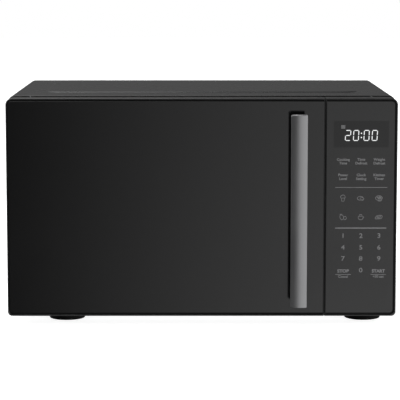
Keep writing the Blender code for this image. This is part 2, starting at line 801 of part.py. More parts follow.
def make_lamp(looks):
    y, z = lamp_place()
    far = bay_left + LAMP_CAN_DEPTH
    can = rod("lamp_holder", (bay_left, y, z), (far, y, z), LAMP_CAN, looks["zinc"])
    cut(can, rod("can_space", (bay_left - 0.01, y, z), (far - SHEET, y, z), LAMP_CAN - SHEET))
    seat = far - SHEET - CLEAR
    base = rod("cavity_lamp", (seat, y, z), (seat - 0.008, y, z), 0.006, looks["bulb"], sides=14)
    work = bmesh.new()
    bmesh.ops.create_uvsphere(work, u_segments=12, v_segments=8, radius=BULB_RADIUS)
    bulb = finish("bulb", work)
    bulb.data.transform(Matrix.Translation((seat - 0.013, y, z)))
    join(base, bulb)
    return [can, base]


def make_turntable(looks):
    place = (table_x, table_y, 0.0)
    low = seat_z - MOTOR_HEIGHT
    motor = rod("turntable_motor", (table_x, table_y, low), (table_x, table_y, seat_z), MOTOR_RADIUS,
        looks["zinc"])
    ears = block("motor_ears", (table_x - MOTOR_RADIUS - 0.008, table_y - 0.006, seat_z - SHEET),
                 (table_x + MOTOR_RADIUS + 0.008, table_y + 0.006, seat_z))
    join(motor, ears)
    bore_low = seat_z - MOTOR_BORE_DEPTH
    cut(motor, rod("motor_bore", (table_x, table_y, bore_low), (table_x, table_y, seat_z + 0.01),
        COUPLER_SHAFT + 0.0005))
    coupler_low = cavity_floor + 0.0006
    coupler_high = tray_low - CLEAR - 0.0007
    coupler = rod("turntable_coupler", (table_x, table_y, coupler_low), (table_x, table_y, coupler_high),
        COUPLER_HUB,
                  looks["pale"])
    arms = [rod("coupler_shaft", (table_x, table_y, bore_low + 0.0008),
        (table_x, table_y, coupler_low + 0.001),
                COUPLER_SHAFT, sides=12)]
    lugs = []
    for index in range(WHEELS):
        turn = Matrix.Translation(place) @ Matrix.Rotation(math.tau * index / WHEELS, 4, "Z")
        arm = block(f"coupler_arm_{index}", (0.0, -COUPLER_ARM_WIDTH / 2, coupler_low + 0.002),
                    (COUPLER_ARM, COUPLER_ARM_WIDTH / 2, coupler_high - 0.0004))
        arm.data.transform(turn)
        arms.append(arm)
        turn = Matrix.Translation(place) @ Matrix.Rotation(math.tau * (index + 0.5) / WHEELS, 4, "Z")
        lug = block(f"tray_lug_{index}", (COUPLER_HUB + 0.002, -0.004, tray_low - LUG_HEIGHT),
                    (COUPLER_ARM - 0.001, 0.004, tray_low + 0.001))
        lug.data.transform(turn)
        lugs.append(lug)
    join(coupler, *arms)
    dish = [(0.0, tray_low), (TRAY_FLAT, tray_low),
        (TRAY_RADIUS - 0.003, tray_low + TRAY_RIM - TRAY_THICKNESS),
            (TRAY_RADIUS, tray_low + TRAY_RIM - 0.0015), (TRAY_RADIUS - 0.002, tray_low + TRAY_RIM),
            (TRAY_RADIUS - 0.007, tray_low + TRAY_RIM - 0.003),
            (TRAY_FLAT - 0.004, tray_low + TRAY_THICKNESS),
            (0.0, tray_low + TRAY_THICKNESS)]
    tray = disc("glass_tray", dish, place, looks["tray"], 48)
    join(tray, *lugs)
    carry(pivot("turntable_axis", (table_x, table_y, cavity_floor)), coupler, smooth(tray))
    return [motor, coupler, tray] + make_roller_ring(looks)


def disc(name, profile, place, made_of, sides):
    """Spins a profile whose first and last points lie on the axis."""
    work = bmesh.new()
    ends = [work.verts.new((place[0], place[1], z + place[2])) for _, z in (profile[0], profile[-1])]
    loops = []
    for step in range(sides):
        angle = math.tau * step / sides
        points = [(r * math.cos(angle) + place[0], r * math.sin(angle) + place[1], z)
            for r, z in profile[1:-1]]
        loops.append([work.verts.new(point) for point in points])
    for one, other in zip(loops, loops[1:] + loops[:1]):
        work.faces.new((ends[0], one[0], other[0]))
        work.faces.new((ends[1], other[-1], one[-1]))
        for index in range(len(one) - 1):
            work.faces.new((one[index], one[index + 1], other[index + 1], other[index]))
    return finish(name, work, made_of)


def make_roller_ring(looks):
    low, high = wheel_z - RING_HEIGHT / 2, wheel_z + RING_HEIGHT / 2
    profile = [(RING_OUTER, low), (RING_OUTER, high), (RING_INNER, high), (RING_INNER, low)]
    ring = turned("roller_ring", profile, (table_x, table_y, 0.0), looks["pale"], 36)
    holder = pivot("ring_axis", (table_x, table_y, wheel_z))
    pieces = [ring]
    for index in range(WHEELS):
        angle = math.tau * index / WHEELS + math.pi / 2
        out = Vector((math.cos(angle), math.sin(angle), 0.0))
        centre = Vector((table_x, table_y, wheel_z))
        near, far = WHEEL_ORBIT - WHEEL_WIDTH / 2, WHEEL_ORBIT + WHEEL_WIDTH / 2
        axle_end = centre + out * (far + 0.002)
        join(ring, rod(f"axle_{index}", centre + out * (RING_OUTER - 0.002), axle_end, AXLE_RADIUS,
            sides=10))
        wheel = rod(f"roller_{index + 1}", centre + out * near, centre + out * far, WHEEL_RADIUS,
            looks["pale"])
        cut(wheel, rod(f"wheel_bore_{index}", centre + out * (near - 0.01), centre + out * (far + 0.01),
            WHEEL_BORE,
                       sides=12))
        carry(pivot(f"roller_axis_{index + 1}", centre + out * WHEEL_ORBIT), smooth(wheel))
        pieces.append(wheel)
    carry(holder, ring)
    return pieces


def face_block(name, low_x, high_x, near, far, radii, made_of=None):
    """A slab of the front face between two x values, with the face's corner radii."""
    return prism_y(name, rounded((low_x, face_low), (high_x, face_high), radii), near, far, made_of)


def pin_bore(name, low, high):
    return rod(name, (hinge_x, hinge_y, low), (hinge_x, hinge_y, high), HINGE_PIN + PIN_PLAY, sides=16)


def hinge_levels():
    """Middle height of each hinge's plate and the way its pin points."""
    return {"upper": (face_high - HINGE_FROM_TOP, -1), "lower": (face_low + HINGE_FROM_LOW, 1)}


def make_door_frame(looks):
    radii = [0.001, 0.001, FACE_TOP_RADIUS, FACE_LOW_RADIUS]
    frame = face_block("door_frame", door_left, door_right, frame_front, door_rear, radii, looks["frame"])
    plan = [(door_right, frame_front - 0.01), (door_right, door_rear)]
    plan += arc((hinge_x, hinge_y), HINGE_INSET, 90, 180, 8)
    plan.append((door_left, frame_front - 0.01))
    combine(frame, "INTERSECT", [prism_z("door_plan", plan, face_low - 0.01, face_high + 0.01)])
    recess_low = (door_left + RIM_LEFT, frame_front - 0.01, face_low + RIM_LOW)
    cut(frame, block("glass_recess", recess_low,
        (door_right - RIM_MIDDLE, glass_seat, face_high - RIM_TOP)))
    rear = door_rear + 0.01
    cut(frame, block("door_pocket", (pocket_left, wall_rear, pocket_low),
        (pocket_right, rear, pocket_high)))
    side_low = (door_left + FRAME_WALL, wall_rear, face_low + COLUMN_BLOCK)
    cut(frame, block("side_pocket", side_low, (pocket_left - 0.0018, rear, face_high - COLUMN_BLOCK)))
    hole_low, hole_high = window_corners()
    cut(frame, block("frame_window", (hole_low[0], glass_seat - 0.01, hole_low[1]),
                     (hole_high[0], wall_rear + 0.01, hole_high[1])))
    for name, (middle, way) in hinge_levels().items():
        half = HINGE_SLOT / 2
        slot_low = (door_left - 0.01, hinge_y - HINGE_INSET, middle - half)
        cut(frame, block(f"{name}_slot", slot_low, (hinge_x + HINGE_ARM + 0.0009, rear, middle + half)))
        ends = sorted((middle, middle + way * (HINGE_PIN_LENGTH + HINGE_SLOT / 2)))
        cut(frame, pin_bore(f"{name}_bore", *ends))
    ribs = []
    for index, z in enumerate((upper_hook - 0.030, (upper_hook + lower_hook) / 2, lower_hook + 0.030)):
        ribs.append(block(f"key_rib_{index}", (latch_x - 0.007, wall_rear - 0.001, z),
                          (latch_x + 0.007, key_front - CLEAR, z + 0.010)))
    stop_low = key_top() + SPRING_LENGTH + KEY_TRAVEL
    ribs.append(block("spring_stop", (latch_x - 0.007, wall_rear - 0.001, stop_low + CLEAR),
                      (latch_x + 0.007, key_rear, stop_low + 0.004)))
    join(frame, *ribs)
    cut(frame, *screw_holes("frame", glass_seat - 0.01, wall_rear + 0.01, HANDLE_SCREW + PIN_PLAY))
    return frame


def screw_holes(name, near, far, radius):
    return [rod(f"{name}_hole_{index}", (handle_x, near, z), (handle_x, far, z), radius, sides=12)
            for index, z in enumerate(post_heights())]


def post_heights():
    reach = POST_INSET + POST_HEIGHT / 2
    return handle_low + reach, handle_high - reach


def window_corners():
    """(x, z) of the window's lower left and upper right corner."""
    low = (cavity_left + CHOKE_INSET + WINDOW_BORDER, cavity_floor + CHOKE_INSET + WINDOW_BORDER)
    high = (cavity_right - CHOKE_INSET - WINDOW_BORDER, cavity_ceiling - CHOKE_INSET - WINDOW_BORDER)
    return low, high


def make_door_glass(looks):
    low = (door_left + RIM_LEFT + CLEAR, face_low + RIM_LOW + CLEAR)
    high = (door_right - RIM_MIDDLE - CLEAR, face_high - RIM_TOP - CLEAR)
    outline = rounded(low, high, [0.0005, 0.0005, 0.002, 0.0015])
    glass = prism_y("door_glass", outline, front, glass_rear, looks["glass"])
    cut(glass, *screw_holes("glass", front - 0.01, glass_rear + 0.01, HANDLE_SCREW + PIN_PLAY))
    return glass


def choke_boxes():
    """(x, z, x, z) of the choke's outer lip, its inner wall and its middle plate."""
    lip = (cavity_left - CHOKE_LIP_LEFT, cavity_floor - CHOKE_LIP_LOW,
           cavity_right + CHOKE_LIP_RIGHT, cavity_ceiling + CHOKE_LIP_TOP)
    plate = (cavity_left + CHOKE_INSET, cavity_floor + CHOKE_INSET,
             cavity_right - CHOKE_INSET, cavity_ceiling - CHOKE_INSET)
    return lip, plate


def grown(box, by):
    return box[0] - by, box[1] - by, box[2] + by, box[3] + by


def make_door_inside(looks):
    lip, plate = choke_boxes()
    choke = block("choke_frame", (lip[0], choke_front, lip[1]), (lip[2], choke_rear, lip[3]), looks["zinc"])
    channel = ring_block("choke_channel", grown(lip, -SHEET), plate, choke_front + SHEET, choke_rear + 0.01)
    inner = grown(plate, -SHEET)
    pocket = block("choke_pocket", (inner[0], choke_front - 0.01, inner[1]),
        (inner[2], choke_rear - SHEET, inner[3]))
    low, high = window_corners()
    hole = block("choke_window", (low[0], choke_front, low[1]), (high[0], choke_rear + 0.01, high[1]))
    cut(choke, channel, pocket, hole)
    edge = grown(inner, -0.002)
    screen_far = choke_rear - SHEET - CLEAR
    screen = block("window_screen", (edge[0], screen_far - SCREEN_SHEET, edge[1]),
        (edge[2], screen_far, edge[3]),
                   looks["screen"])
    pane_near = choke_rear + CLEAR
    edge = grown(plate, -0.001)
    pane = block("inner_window", (edge[0], pane_near, edge[1]),
        (edge[2], pane_near + INNER_WINDOW, edge[3]),
                 looks["clear"])
    outer = (pocket_left + CLEAR, pocket_low + CLEAR, pocket_right - CLEAR, pocket_high - CLEAR)
    cover = ring_block("choke_cover", outer, grown(plate, COVER_INSET), pane_near, door_rear,
        looks["frame"])
    cut(cover, hook_slots("cover_slots", pane_near - 0.01, door_rear + 0.01, 0.0005))
    return [choke, screen, pane, cover]


def make_handle(looks):
    half_front, half_back = HANDLE_WIDTH / 2, HANDLE_BACK_WIDTH / 2
    crown = 0.0015
    plan = [(handle_x + half_back, handle_rear), (handle_x + half_front, handle_rear - 0.006),
            (handle_x + half_front, handle_front + crown + 0.0004)]
    for step in range(1, 6):
        along = 1 - step / 3
        plan.append((handle_x + half_front * along * 0.96, handle_front + crown * along * along))
    plan += [(handle_x - half_front, handle_front + crown + 0.0012),
        (handle_x - half_front, handle_rear - 0.006),
             (handle_x - half_back, handle_rear)]
    bar = prism_z("handle_bar", plan, handle_low, handle_high, looks["handle"])
    outline = [(handle_left - 0.01, handle_low), (handle_right + 0.01, handle_low),
        (handle_right + 0.01, handle_high),
               (handle_left - 0.01, handle_high)]
    slope = HANDLE_CUT / 2
    outline = [(handle_left + slope, handle_low), (handle_right - 0.0005, handle_low),
               (handle_right + 0.001, handle_low + 0.0015), (handle_right + 0.001, handle_high - 0.0015),
               (handle_right - 0.0005, handle_high), (handle_left + slope, handle_high),
               (handle_left - 0.001, handle_high - HANDLE_CUT - 0.001),
               (handle_left - 0.001, handle_low + HANDLE_CUT + 0.001)]
    trim = prism_y("handle_trim", outline, handle_front - 0.01, handle_rear + 0.01)
    combine(bar, "INTERSECT", [trim])
    posts = []
    for index, z in enumerate(post_heights()):
        posts.append(block(f"handle_post_{index}",
            (handle_x - POST_WIDTH / 2, handle_rear - 0.001, z - POST_HEIGHT / 2),
                           (handle_x + POST_WIDTH / 2, front - CLEAR, z + POST_HEIGHT / 2)))
    join(bar, *posts)
    bore_near = handle_rear + 0.006
    cut(bar, *screw_holes("post", bore_near, front + 0.01, HANDLE_SCREW + PIN_PLAY))
    pieces = [bar]
    for name, z in zip(("lower", "upper"), post_heights()):
        head_near = wall_rear + CLEAR
        head = rod(f"{name}_handle_screw", (handle_x, head_near, z),
            (handle_x, head_near + SCREW_HEAD_DEPTH, z),
                   SCREW_HEAD, looks["zinc"], sides=12)
        join(head, rod(f"{name}_screw_shank", (handle_x, bore_near + 0.001, z),
            (handle_x, head_near + 0.0005, z),
                       HANDLE_SCREW, sides=10))
        pieces.append(head)
    return pieces


def key_top():
    return upper_hook + HOOK_HEIGHT / 2 + 0.004


def make_latch(looks):
    half = HOOK_WIDTH / 2
    key_low = lower_hook - HOOK_HEIGHT / 2 - HOOK_NOSE
    key = block("latch_key", (latch_x - half, key_front, key_low), (latch_x + half, key_rear, key_top()),
        looks["pale"])
    hooks = []
    for index, middle in enumerate((upper_hook, lower_hook)):
        low, high = middle - HOOK_HEIGHT / 2, middle + HOOK_HEIGHT / 2
        near = nose_rear - HOOK_NOSE
        outline = [(key_rear - 0.001, low), (near, low), (near + 0.0015, low - HOOK_NOSE),
            (near + 0.0035, low - HOOK_NOSE),
                   (nose_rear, low + 0.001), (nose_rear, high - 0.001), (nose_rear - 0.001, high),
                   (key_rear - 0.001, high)]
        rings = [[(x, y, z) for y, z in outline] for x in (latch_x - half, latch_x + half)]
        hooks.append(loft(f"hook_{index}", rings))
    join(key, *hooks)
    spring = make_spring("latch_spring", key_top() + CLEAR, key_top() + SPRING_LENGTH + KEY_TRAVEL - CLEAR,
                         looks["zinc"])
    carry(pivot("latch_axis", (latch_x, key_rear, key_top())), key)
    return [key, spring]


def make_spring(name, low, high, made_of):
    """A coil spring: a helix given thickness by the curve's bevel."""
    curve = bpy.data.curves.new(name, "CURVE")
    curve.dimensions = "3D"
    curve.bevel_depth = SPRING_WIRE
    curve.bevel_resolution = 1
    curve.use_fill_caps = True
    steps = SPRING_TURNS * 10
    spline = curve.splines.new("POLY")
    spline.points.add(steps)
    centre_y = (key_front + key_rear) / 2
    for index, point in enumerate(spline.points):
        share = index / steps
        angle = math.tau * SPRING_TURNS * share
        z = low + SPRING_WIRE * 1.2 + (high - low - SPRING_WIRE * 2.4) * share
        point.co = (latch_x + SPRING_RADIUS * math.cos(angle), centre_y + SPRING_RADIUS * math.sin(angle),
            z, 1.0)
    curve.materials.append(made_of)
    item = bpy.data.objects.new(name, curve)
    bpy.context.scene.collection.objects.link(item)
    return item


def make_hinges(looks):
    pieces = []
    for name, (middle, way) in hinge_levels().items():
        half = HINGE_PLATE / 2
        arm_rear = case_front - CLEAR
        plan = arc((hinge_x, hinge_y), HINGE_ARM, 180, 360, 8)
        plan += [(hinge_x + HINGE_ARM, arm_rear), (hinge_x - HINGE_ARM, arm_rear)]
        plate = prism_z(f"{name}_hinge", plan, middle - half, middle + half, looks["zinc"])
        toward = sorted((middle - way * half, middle + way * (half + HINGE_PIN_LENGTH)))
        join(plate, rod(f"{name}_pin", (hinge_x, hinge_y, toward[0]), (hinge_x, hinge_y, toward[1]),
            HINGE_PIN, sides=16))
        leaf = sorted((middle - way * half * 0.5, middle + way * HINGE_LEAF * 0.3))
        join(plate, block(f"{name}_leaf", (hinge_x, arm_rear - 0.0006, leaf[0]),
                          (hinge_x + HINGE_LEAF, arm_rear, leaf[1])))
        pieces.append(plate)
    return pieces


def make_interlock(looks):
    plate_near = latch_x + SWITCH_THICK / 2 + CLEAR
    plate_far = plate_near + 0.0025
    low = lower_hook - 0.030
    high = upper_hook + 0.022
    near = plate_rear + CLEAR
    bracket = block("interlock_bracket", (plate_near, near, low), (plate_far, near + 0.046, high),
        looks["frame"])
    join(bracket, block("bracket_flange", (latch_x - 0.0115, near, low),
        (plate_near + 0.001, near + 0.002, high)))
    cut(bracket, hook_slots("bracket_slots", near - 0.01, near + 0.0021, 0.0003))
    pieces = [bracket]
    plunger_y = nose_rear - HOOK_NOSE + 0.0025
    half, thick = PLUNGER_WIDTH / 2, SWITCH_THICK / 2
    bore = half + PLUNGER_PLAY
    for name, middle in (("primary", upper_hook), ("secondary", lower_hook)):
        tip = middle - HOOK_HEIGHT / 2 - HOOK_NOSE - CLEAR
        top = tip - PLUNGER_OUT
        body_near = near + 0.0045
        body = block(f"{name}_switch", (latch_x - thick, body_near, top - SWITCH_HEIGHT),
                     (latch_x + thick, body_near + SWITCH_LENGTH, top), looks["switch"])
        cut(body, block(f"{name}_bore", (latch_x - bore, plunger_y - bore, top - PLUNGER_BORE),
                        (latch_x + bore, plunger_y + bore, top + 0.01)))
        plunger = block(f"{name}_plunger", (latch_x - half, plunger_y - half, top - PLUNGER_IN),
                        (latch_x + half, plunger_y + half, tip), looks["red"])
        carry(pivot(f"{name}_plunger_axis", (latch_x, plunger_y, tip)), plunger)
        pieces += [body, plunger]
    flank = latch_x + HOOK_WIDTH / 2
    tip = flank + CLEAR
    body_left = plate_far + CLEAR
    shank_y = nose_rear - 0.004
    body = block("monitor_switch", (body_left, near + 0.0045, upper_hook - thick),
                 (body_left + SWITCH_HEIGHT, near + 0.0045 + SWITCH_LENGTH, upper_hook + thick),
                 looks["switch"])
    cut(body, block("monitor_bore", (body_left - 0.01, shank_y - bore, upper_hook - bore),
                    (body_left + PLUNGER_BORE, shank_y + bore, upper_hook + bore)))
    cut(bracket, block("bracket_bore", (plate_near - 0.01, shank_y - bore, upper_hook - bore),
                       (plate_far + 0.01, shank_y + bore, upper_hook + bore)))
    plunger = block("monitor_plunger", (tip, shank_y - half, upper_hook - half),
                    (body_left + PLUNGER_IN, shank_y + half, upper_hook + half), looks["red"])
    carry(pivot("monitor_plunger_axis", (tip, shank_y, upper_hook)), plunger)
    return pieces + [body, plunger]


def display_box():
    low_x = panel_left + DISPLAY_LEFT
    high_z = face_high - DISPLAY_FROM_TOP
    return (low_x, high_z - DISPLAY_HEIGHT), (low_x + DISPLAY_WIDTH, high_z)


def make_control_panel(looks):
    radii = [FACE_LOW_RADIUS, FACE_TOP_RADIUS, 0.001, 0.001]
    rear = case_front - CLEAR
    frame = face_block("control_panel_frame", panel_left, panel_right, frame_front, rear, radii,
        looks["frame"])
    fascia_rear = front + FASCIA
    seat = fascia_rear + KEY_FILM + 2 * CLEAR
    left_rim, right_rim = panel_left + RIM_MIDDLE, panel_right - RIM_RIGHT
    low_z, high_z = face_low + RIM_LOW, face_high - RIM_TOP
    cut(frame, block("fascia_recess", (left_rim, frame_front - 0.01, low_z), (right_rim, seat, high_z)))
    wall = FRAME_WALL
    pocket_near = seat + wall
    cut(frame, block("panel_pocket", (panel_left + wall, pocket_near, face_low + wall + 0.003),
                     (panel_right - wall, rear + 0.01, face_high - wall - 0.003)))
    (view_x, view_z), (view_end, view_top) = display_box()
    play = 0.0008
    cut(frame, block("display_opening", (view_x - play, seat - 0.01, view_z - play),
                     (view_end + play, pocket_near + 0.01, view_top + play)))
    board_near = front + 0.0155
    board_low, board_high = (panel_left + 0.006, face_low + 0.028), (panel_right - 0.006, face_high - 0.016)
    bosses = []
    for index, (x, z) in enumerate(((board_low[0] + 0.005, board_low[1] + 0.008),
            (board_high[0] - 0.005, board_low[1] + 0.008),
            (board_low[0] + 0.005, view_z - 0.020), (board_high[0] - 0.005, view_z - 0.020))):
        bosses.append(rod(f"board_boss_{index}", (x, pocket_near - 0.001, z), (x, board_near - CLEAR, z),
            0.003, sides=12))
    join(frame, *bosses)
    outline = rounded((left_rim + CLEAR, low_z + CLEAR), (right_rim - CLEAR, high_z - CLEAR),
                      [0.0015, 0.002, 0.0005, 0.0005])
    fascia = prism_y("control_panel_fascia", outline, front, fascia_rear, looks["glass"])
    film_near = fascia_rear + CLEAR
    film = block("touch_key_film", (left_rim + 0.004, film_near, low_z + 0.030),
        (right_rim - 0.004, film_near + KEY_FILM, view_z - 0.006), looks["display"])
    display = block("display_module", (view_x, film_near, view_z), (view_end, board_near - CLEAR, view_top),
                    looks["display"])
    board = block("control_board", (board_low[0], board_near, board_low[1]),
        (board_high[0], board_near + BOARD,
                                                                             board_high[1]), looks["board"])
    parts = [block("relay", (board_low[0] + 0.010, board_near + BOARD / 2, board_low[1] + 0.050),
                   (board_low[0] + 0.028, board_near + 0.0135, board_low[1] + 0.072)),
             block("supply", (board_low[0] + 0.040, board_near + BOARD / 2, board_low[1] + 0.040),
                   (board_low[0] + 0.066, board_near + 0.0125, board_low[1] + 0.064)),
             rod("capacitor", (board_low[0] + 0.050, board_near + BOARD / 2, board_low[1] + 0.100),
                 (board_low[0] + 0.050, board_near + 0.0135, board_low[1] + 0.100), 0.006, sides=14)]
    join(board, *parts)
    return [frame, fascia, film, display, board]


def make_inverter(looks):
    x_high = inside_right - SHEET - 0.002
    x_low = x_high - INVERTER_WIDTH
    y_high = rear_inner - FAN_DEPTH - 0.012
    y_low = y_high - INVERTER_LENGTH
    low = base_high + CLEAR
    floor = low + 0.0015
    tray = block("inverter_tray", (x_low, y_low, low), (x_high, y_high, floor), looks["frame"])
    inset = 0.006
    posts = []
    for index, (x, y) in enumerate(((x_low + inset, y_low + inset), (x_high - inset, y_low + inset),
                                    (x_low + inset, y_high - inset), (x_high - inset, y_high - inset))):
        posts.append(rod(f"tray_post_{index}", (x, y, low + 0.0005), (x, y, low + TRAY_POST), 0.003,
            sides=12))
    join(tray, *posts)
    board_low = low + TRAY_POST + CLEAR
    board_high = board_low + BOARD
    board = block("inverter_board", (x_low, y_low, board_low), (x_high, y_high, board_high), looks["board"])
    join(board, rod("smoothing_capacitor", (x_high - 0.018, y_low + 0.020, board_low + 0.0005),
                    (x_high - 0.018, y_low + 0.020, board_high + 0.030), 0.011, sides=18))
    seat = board_high + CLEAR
    sink_x, sink_y = x_low + 0.006, y_high - 0.016 - SINK_LENGTH
    sink = block("inverter_heat_sink", (sink_x, sink_y, seat),
        (sink_x + SINK_WIDTH, sink_y + SINK_LENGTH, seat + 0.004),
                 looks["alloy"])
    fins = []
    for index in range(SINK_FINS):
        x = sink_x + index * (SINK_WIDTH - 0.002) / (SINK_FINS - 1)
        fins.append(block(f"sink_fin_{index}", (x, sink_y, seat + 0.002),
            (x + 0.002, sink_y + SINK_LENGTH, seat + SINK_HEIGHT)))
    join(sink, *fins)
    core_x, core_y = x_high - 0.006 - CORE_WIDTH, y_high - 0.020 - CORE_LENGTH
    core_middle = core_x + CORE_WIDTH / 2
    core = block("inverter_transformer", (core_x, core_y, seat), (core_x + CORE_WIDTH, core_y + CORE_LENGTH,
                                                                seat + CORE_HEIGHT), looks["ferrite"])
    leg = 0.010
    cut(core, block("core_space", (core_x - 0.01, core_y + leg, seat + leg), (core_x + CORE_WIDTH + 0.01,
                    core_y + CORE_LENGTH - leg, seat + CORE_HEIGHT - leg)))
    join(core, rod("winding", (core_middle, core_y + leg - 0.001, seat + CORE_HEIGHT / 2),
                   (core_middle, core_y + CORE_LENGTH - leg + 0.001, seat + CORE_HEIGHT / 2),
                   CORE_HEIGHT / 2 - 0.001))
    return [tray, board, sink, core]


def make_filter(looks):
    x_low = bay_middle - FILTER_WIDTH / 2
    z_low = filter_low()
    far = rear_inner - 0.008
    board = block("noise_filter_board", (x_low, far - BOARD, z_low),
        (x_low + FILTER_WIDTH, far, z_low + FILTER_HEIGHT),
                  looks["board"])
    shapes = []
    for index, (x, z) in enumerate(
            ((x_low + 0.006, z_low + 0.006), (x_low + FILTER_WIDTH - 0.006, z_low + 0.006),
                                    (x_low + 0.006, z_low + FILTER_HEIGHT - 0.006),
                                    (x_low + FILTER_WIDTH - 0.006, z_low + FILTER_HEIGHT - 0.006))):
        shapes.append(rod(f"filter_post_{index}", (x, far - 0.0005, z), (x, rear_inner - CLEAR, z), 0.003,
            sides=10))
    shapes.append(block("filter_capacitor", (x_low + 0.008, far - 0.018, z_low + 0.016),
                        (x_low + 0.030, far - 0.0005, z_low + 0.042)))
    shapes.append(rod("filter_choke", (x_low + 0.052, far - 0.018, z_low + 0.030),
                      (x_low + 0.052, far - 0.0005, z_low + 0.030), 0.012, sides=18))
    fuse_z = z_low + FILTER_HEIGHT - 0.010
    shapes.append(block("fuse_clips", (x_low + 0.024, far - 0.006, fuse_z - 0.003),
        (x_low + 0.050, far - 0.0005,
                                                                                    fuse_z + 0.003)))
    join(board, *shapes)
    return board


def make_door(looks):
    pieces = [make_door_frame(looks), make_door_glass(looks)]
    pieces += make_door_inside(looks)
    pieces += make_handle(looks)
    key, spring = make_latch(looks)
    carry(pivot("door_axis", (hinge_x, hinge_y, face_low)), *pieces, spring)
    return pieces + [key, spring]


def main():
    clear_scene()
    looks = make_materials()
    make_case(looks)
    make_back(looks)
    make_base(looks)
    make_feet(looks)
    make_front_plate(looks)
    make_cavity(looks)
    make_microwave_source(looks)
    make_fan(looks)
    make_duct(looks)
    make_lamp(looks)
    make_turntable(looks)
    make_hinges(looks)
    make_interlock(looks)
    make_control_panel(looks)
    make_inverter(looks)
    make_filter(looks)
    make_door(looks)


main()
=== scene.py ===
import json
import math

import bmesh
import bpy
from mathutils import Matrix, Vector


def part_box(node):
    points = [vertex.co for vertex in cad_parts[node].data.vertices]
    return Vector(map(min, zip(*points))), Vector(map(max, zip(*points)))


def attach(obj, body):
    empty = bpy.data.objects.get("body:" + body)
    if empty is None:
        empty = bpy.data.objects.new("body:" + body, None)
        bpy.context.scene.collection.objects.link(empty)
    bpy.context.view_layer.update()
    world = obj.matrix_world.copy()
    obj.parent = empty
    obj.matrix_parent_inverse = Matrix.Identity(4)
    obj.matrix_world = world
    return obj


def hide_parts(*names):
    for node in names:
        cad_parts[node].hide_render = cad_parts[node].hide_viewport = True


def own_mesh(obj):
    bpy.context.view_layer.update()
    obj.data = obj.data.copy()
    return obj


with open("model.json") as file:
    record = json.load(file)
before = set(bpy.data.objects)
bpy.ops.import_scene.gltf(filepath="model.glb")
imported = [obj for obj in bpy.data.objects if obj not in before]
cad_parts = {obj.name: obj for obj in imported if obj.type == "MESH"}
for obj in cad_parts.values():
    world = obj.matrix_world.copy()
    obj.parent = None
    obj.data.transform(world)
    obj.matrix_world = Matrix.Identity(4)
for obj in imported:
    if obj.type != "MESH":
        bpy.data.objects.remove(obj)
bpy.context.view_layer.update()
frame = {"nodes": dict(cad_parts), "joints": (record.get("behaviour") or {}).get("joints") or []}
print("frame loaded,", len(frame["nodes"]), "nodes")


# helpers that make meshes

def meshObject(name, work, flip=True):
    if flip:
        bmesh.ops.recalc_face_normals(work, faces=work.faces)
    mesh = bpy.data.meshes.new(name)
    work.to_mesh(mesh)
    work.free()
    item = bpy.data.objects.new(name, mesh)
    bpy.context.scene.collection.objects.link(item)
    return item


def settle(item):
    # replaces the object's mesh by what its modifiers make, and drops the modifiers
    bpy.context.view_layer.update()
    graph = bpy.context.evaluated_depsgraph_get()
    made = bpy.data.meshes.new_from_object(item.evaluated_get(graph), depsgraph=graph)
    made.name = item.name
    item.modifiers.clear()
    item.data = made
    return item


def smooth(item, angle=38):
    item.data.shade_smooth()
    item.data.set_sharp_from_angle(angle=math.radians(angle))
    return item


def polish(item, angle):
    # smooth shading that keeps broad flat faces flat beside their rounded edges
    smooth(item, angle)
    item.modifiers.new("normals", "WEIGHTED_NORMAL").keep_sharp = True
    return settle(item)


def combine(item, operation, *others):
    for other in others:
        step = item.modifiers.new(operation, "BOOLEAN")
        step.operation = operation
        step.solver = "EXACT"
        step.object = other
        settle(item)
        bpy.data.objects.remove(other)
    return item


def joinAll(name, items, merge=True):
    whole = bmesh.new()
    for item in items:
        whole.from_mesh(item.data)
        bpy.data.objects.remove(item)
    if merge:
        bmesh.ops.remove_doubles(whole, verts=whole.verts, dist=1e-8)
    return meshObject(name, whole)


def ringFaces(work, loops, closed=False, capped=True):
    pairs = list(zip(loops, loops[1:]))
    if closed:
        pairs.append((loops[-1], loops[0]))
    for one, other in pairs:
        for index in range(len(one)):
            after = (index + 1) % len(one)
            work.faces.new((one[index], one[after], other[after], other[index]))
    if capped and not closed:
        work.faces.new(loops[0])
        work.faces.new(loops[-1])


def loft(name, rings, closed=False, capped=True):
    work = bmesh.new()
    loops = [[work.verts.new(point) for point in ring] for ring in rings]
    ringFaces(work, loops, closed, capped)
    bmesh.ops.remove_doubles(work, verts=work.verts, dist=1e-7)
    return meshObject(name, work)


def arc(x, z, radius, start, end, steps=12, squash=1.0):
    # points round a centre, with the angles in degrees
    points = []
    for step in range(steps + 1):
        angle = math.radians(start + (end - start) * step / steps)
        points.append((x + radius * math.cos(angle), z + squash * radius * math.sin(angle)))
    return points


def roundRect(low, high, radii, steps=8):
    # corner order: low right, high right, high left, low left
    spots = ((high[0], low[1], 1, -1, -90), (high[0], high[1], 1, 1, 0),
             (low[0], high[1], -1, 1, 90), (low[0], low[1], -1, -1, 180))
    points = []
    for (x, z, signX, signZ, start), radius in zip(spots, radii):
        points += arc(x - signX * radius, z - signZ * radius, radius, start, start + 90, steps)
    return points


def stationRing(rect, radii, station, steps=8):
    # a round-cornered outline at depth y, drawn in from each side by its own inset
    y, insets = station[0], station[1]
    left, low, right, top = insets
    around = (max(right, low), max(right, top), max(left, top), max(left, low))
    kept = station[2] if len(station) > 2 else [max(radius - inset, 0.0003)
        for radius, inset in zip(radii, around)]
    outline = roundRect((rect[0] + left, rect[1] + low), (rect[2] - right, rect[3] - top), kept, steps)
    return [(x, y, z) for x, z in outline]


def frameSweep(name, rect, radii, stations, steps=8):
    return loft(name, [stationRing(rect, radii, station, steps) for station in stations], closed=True)


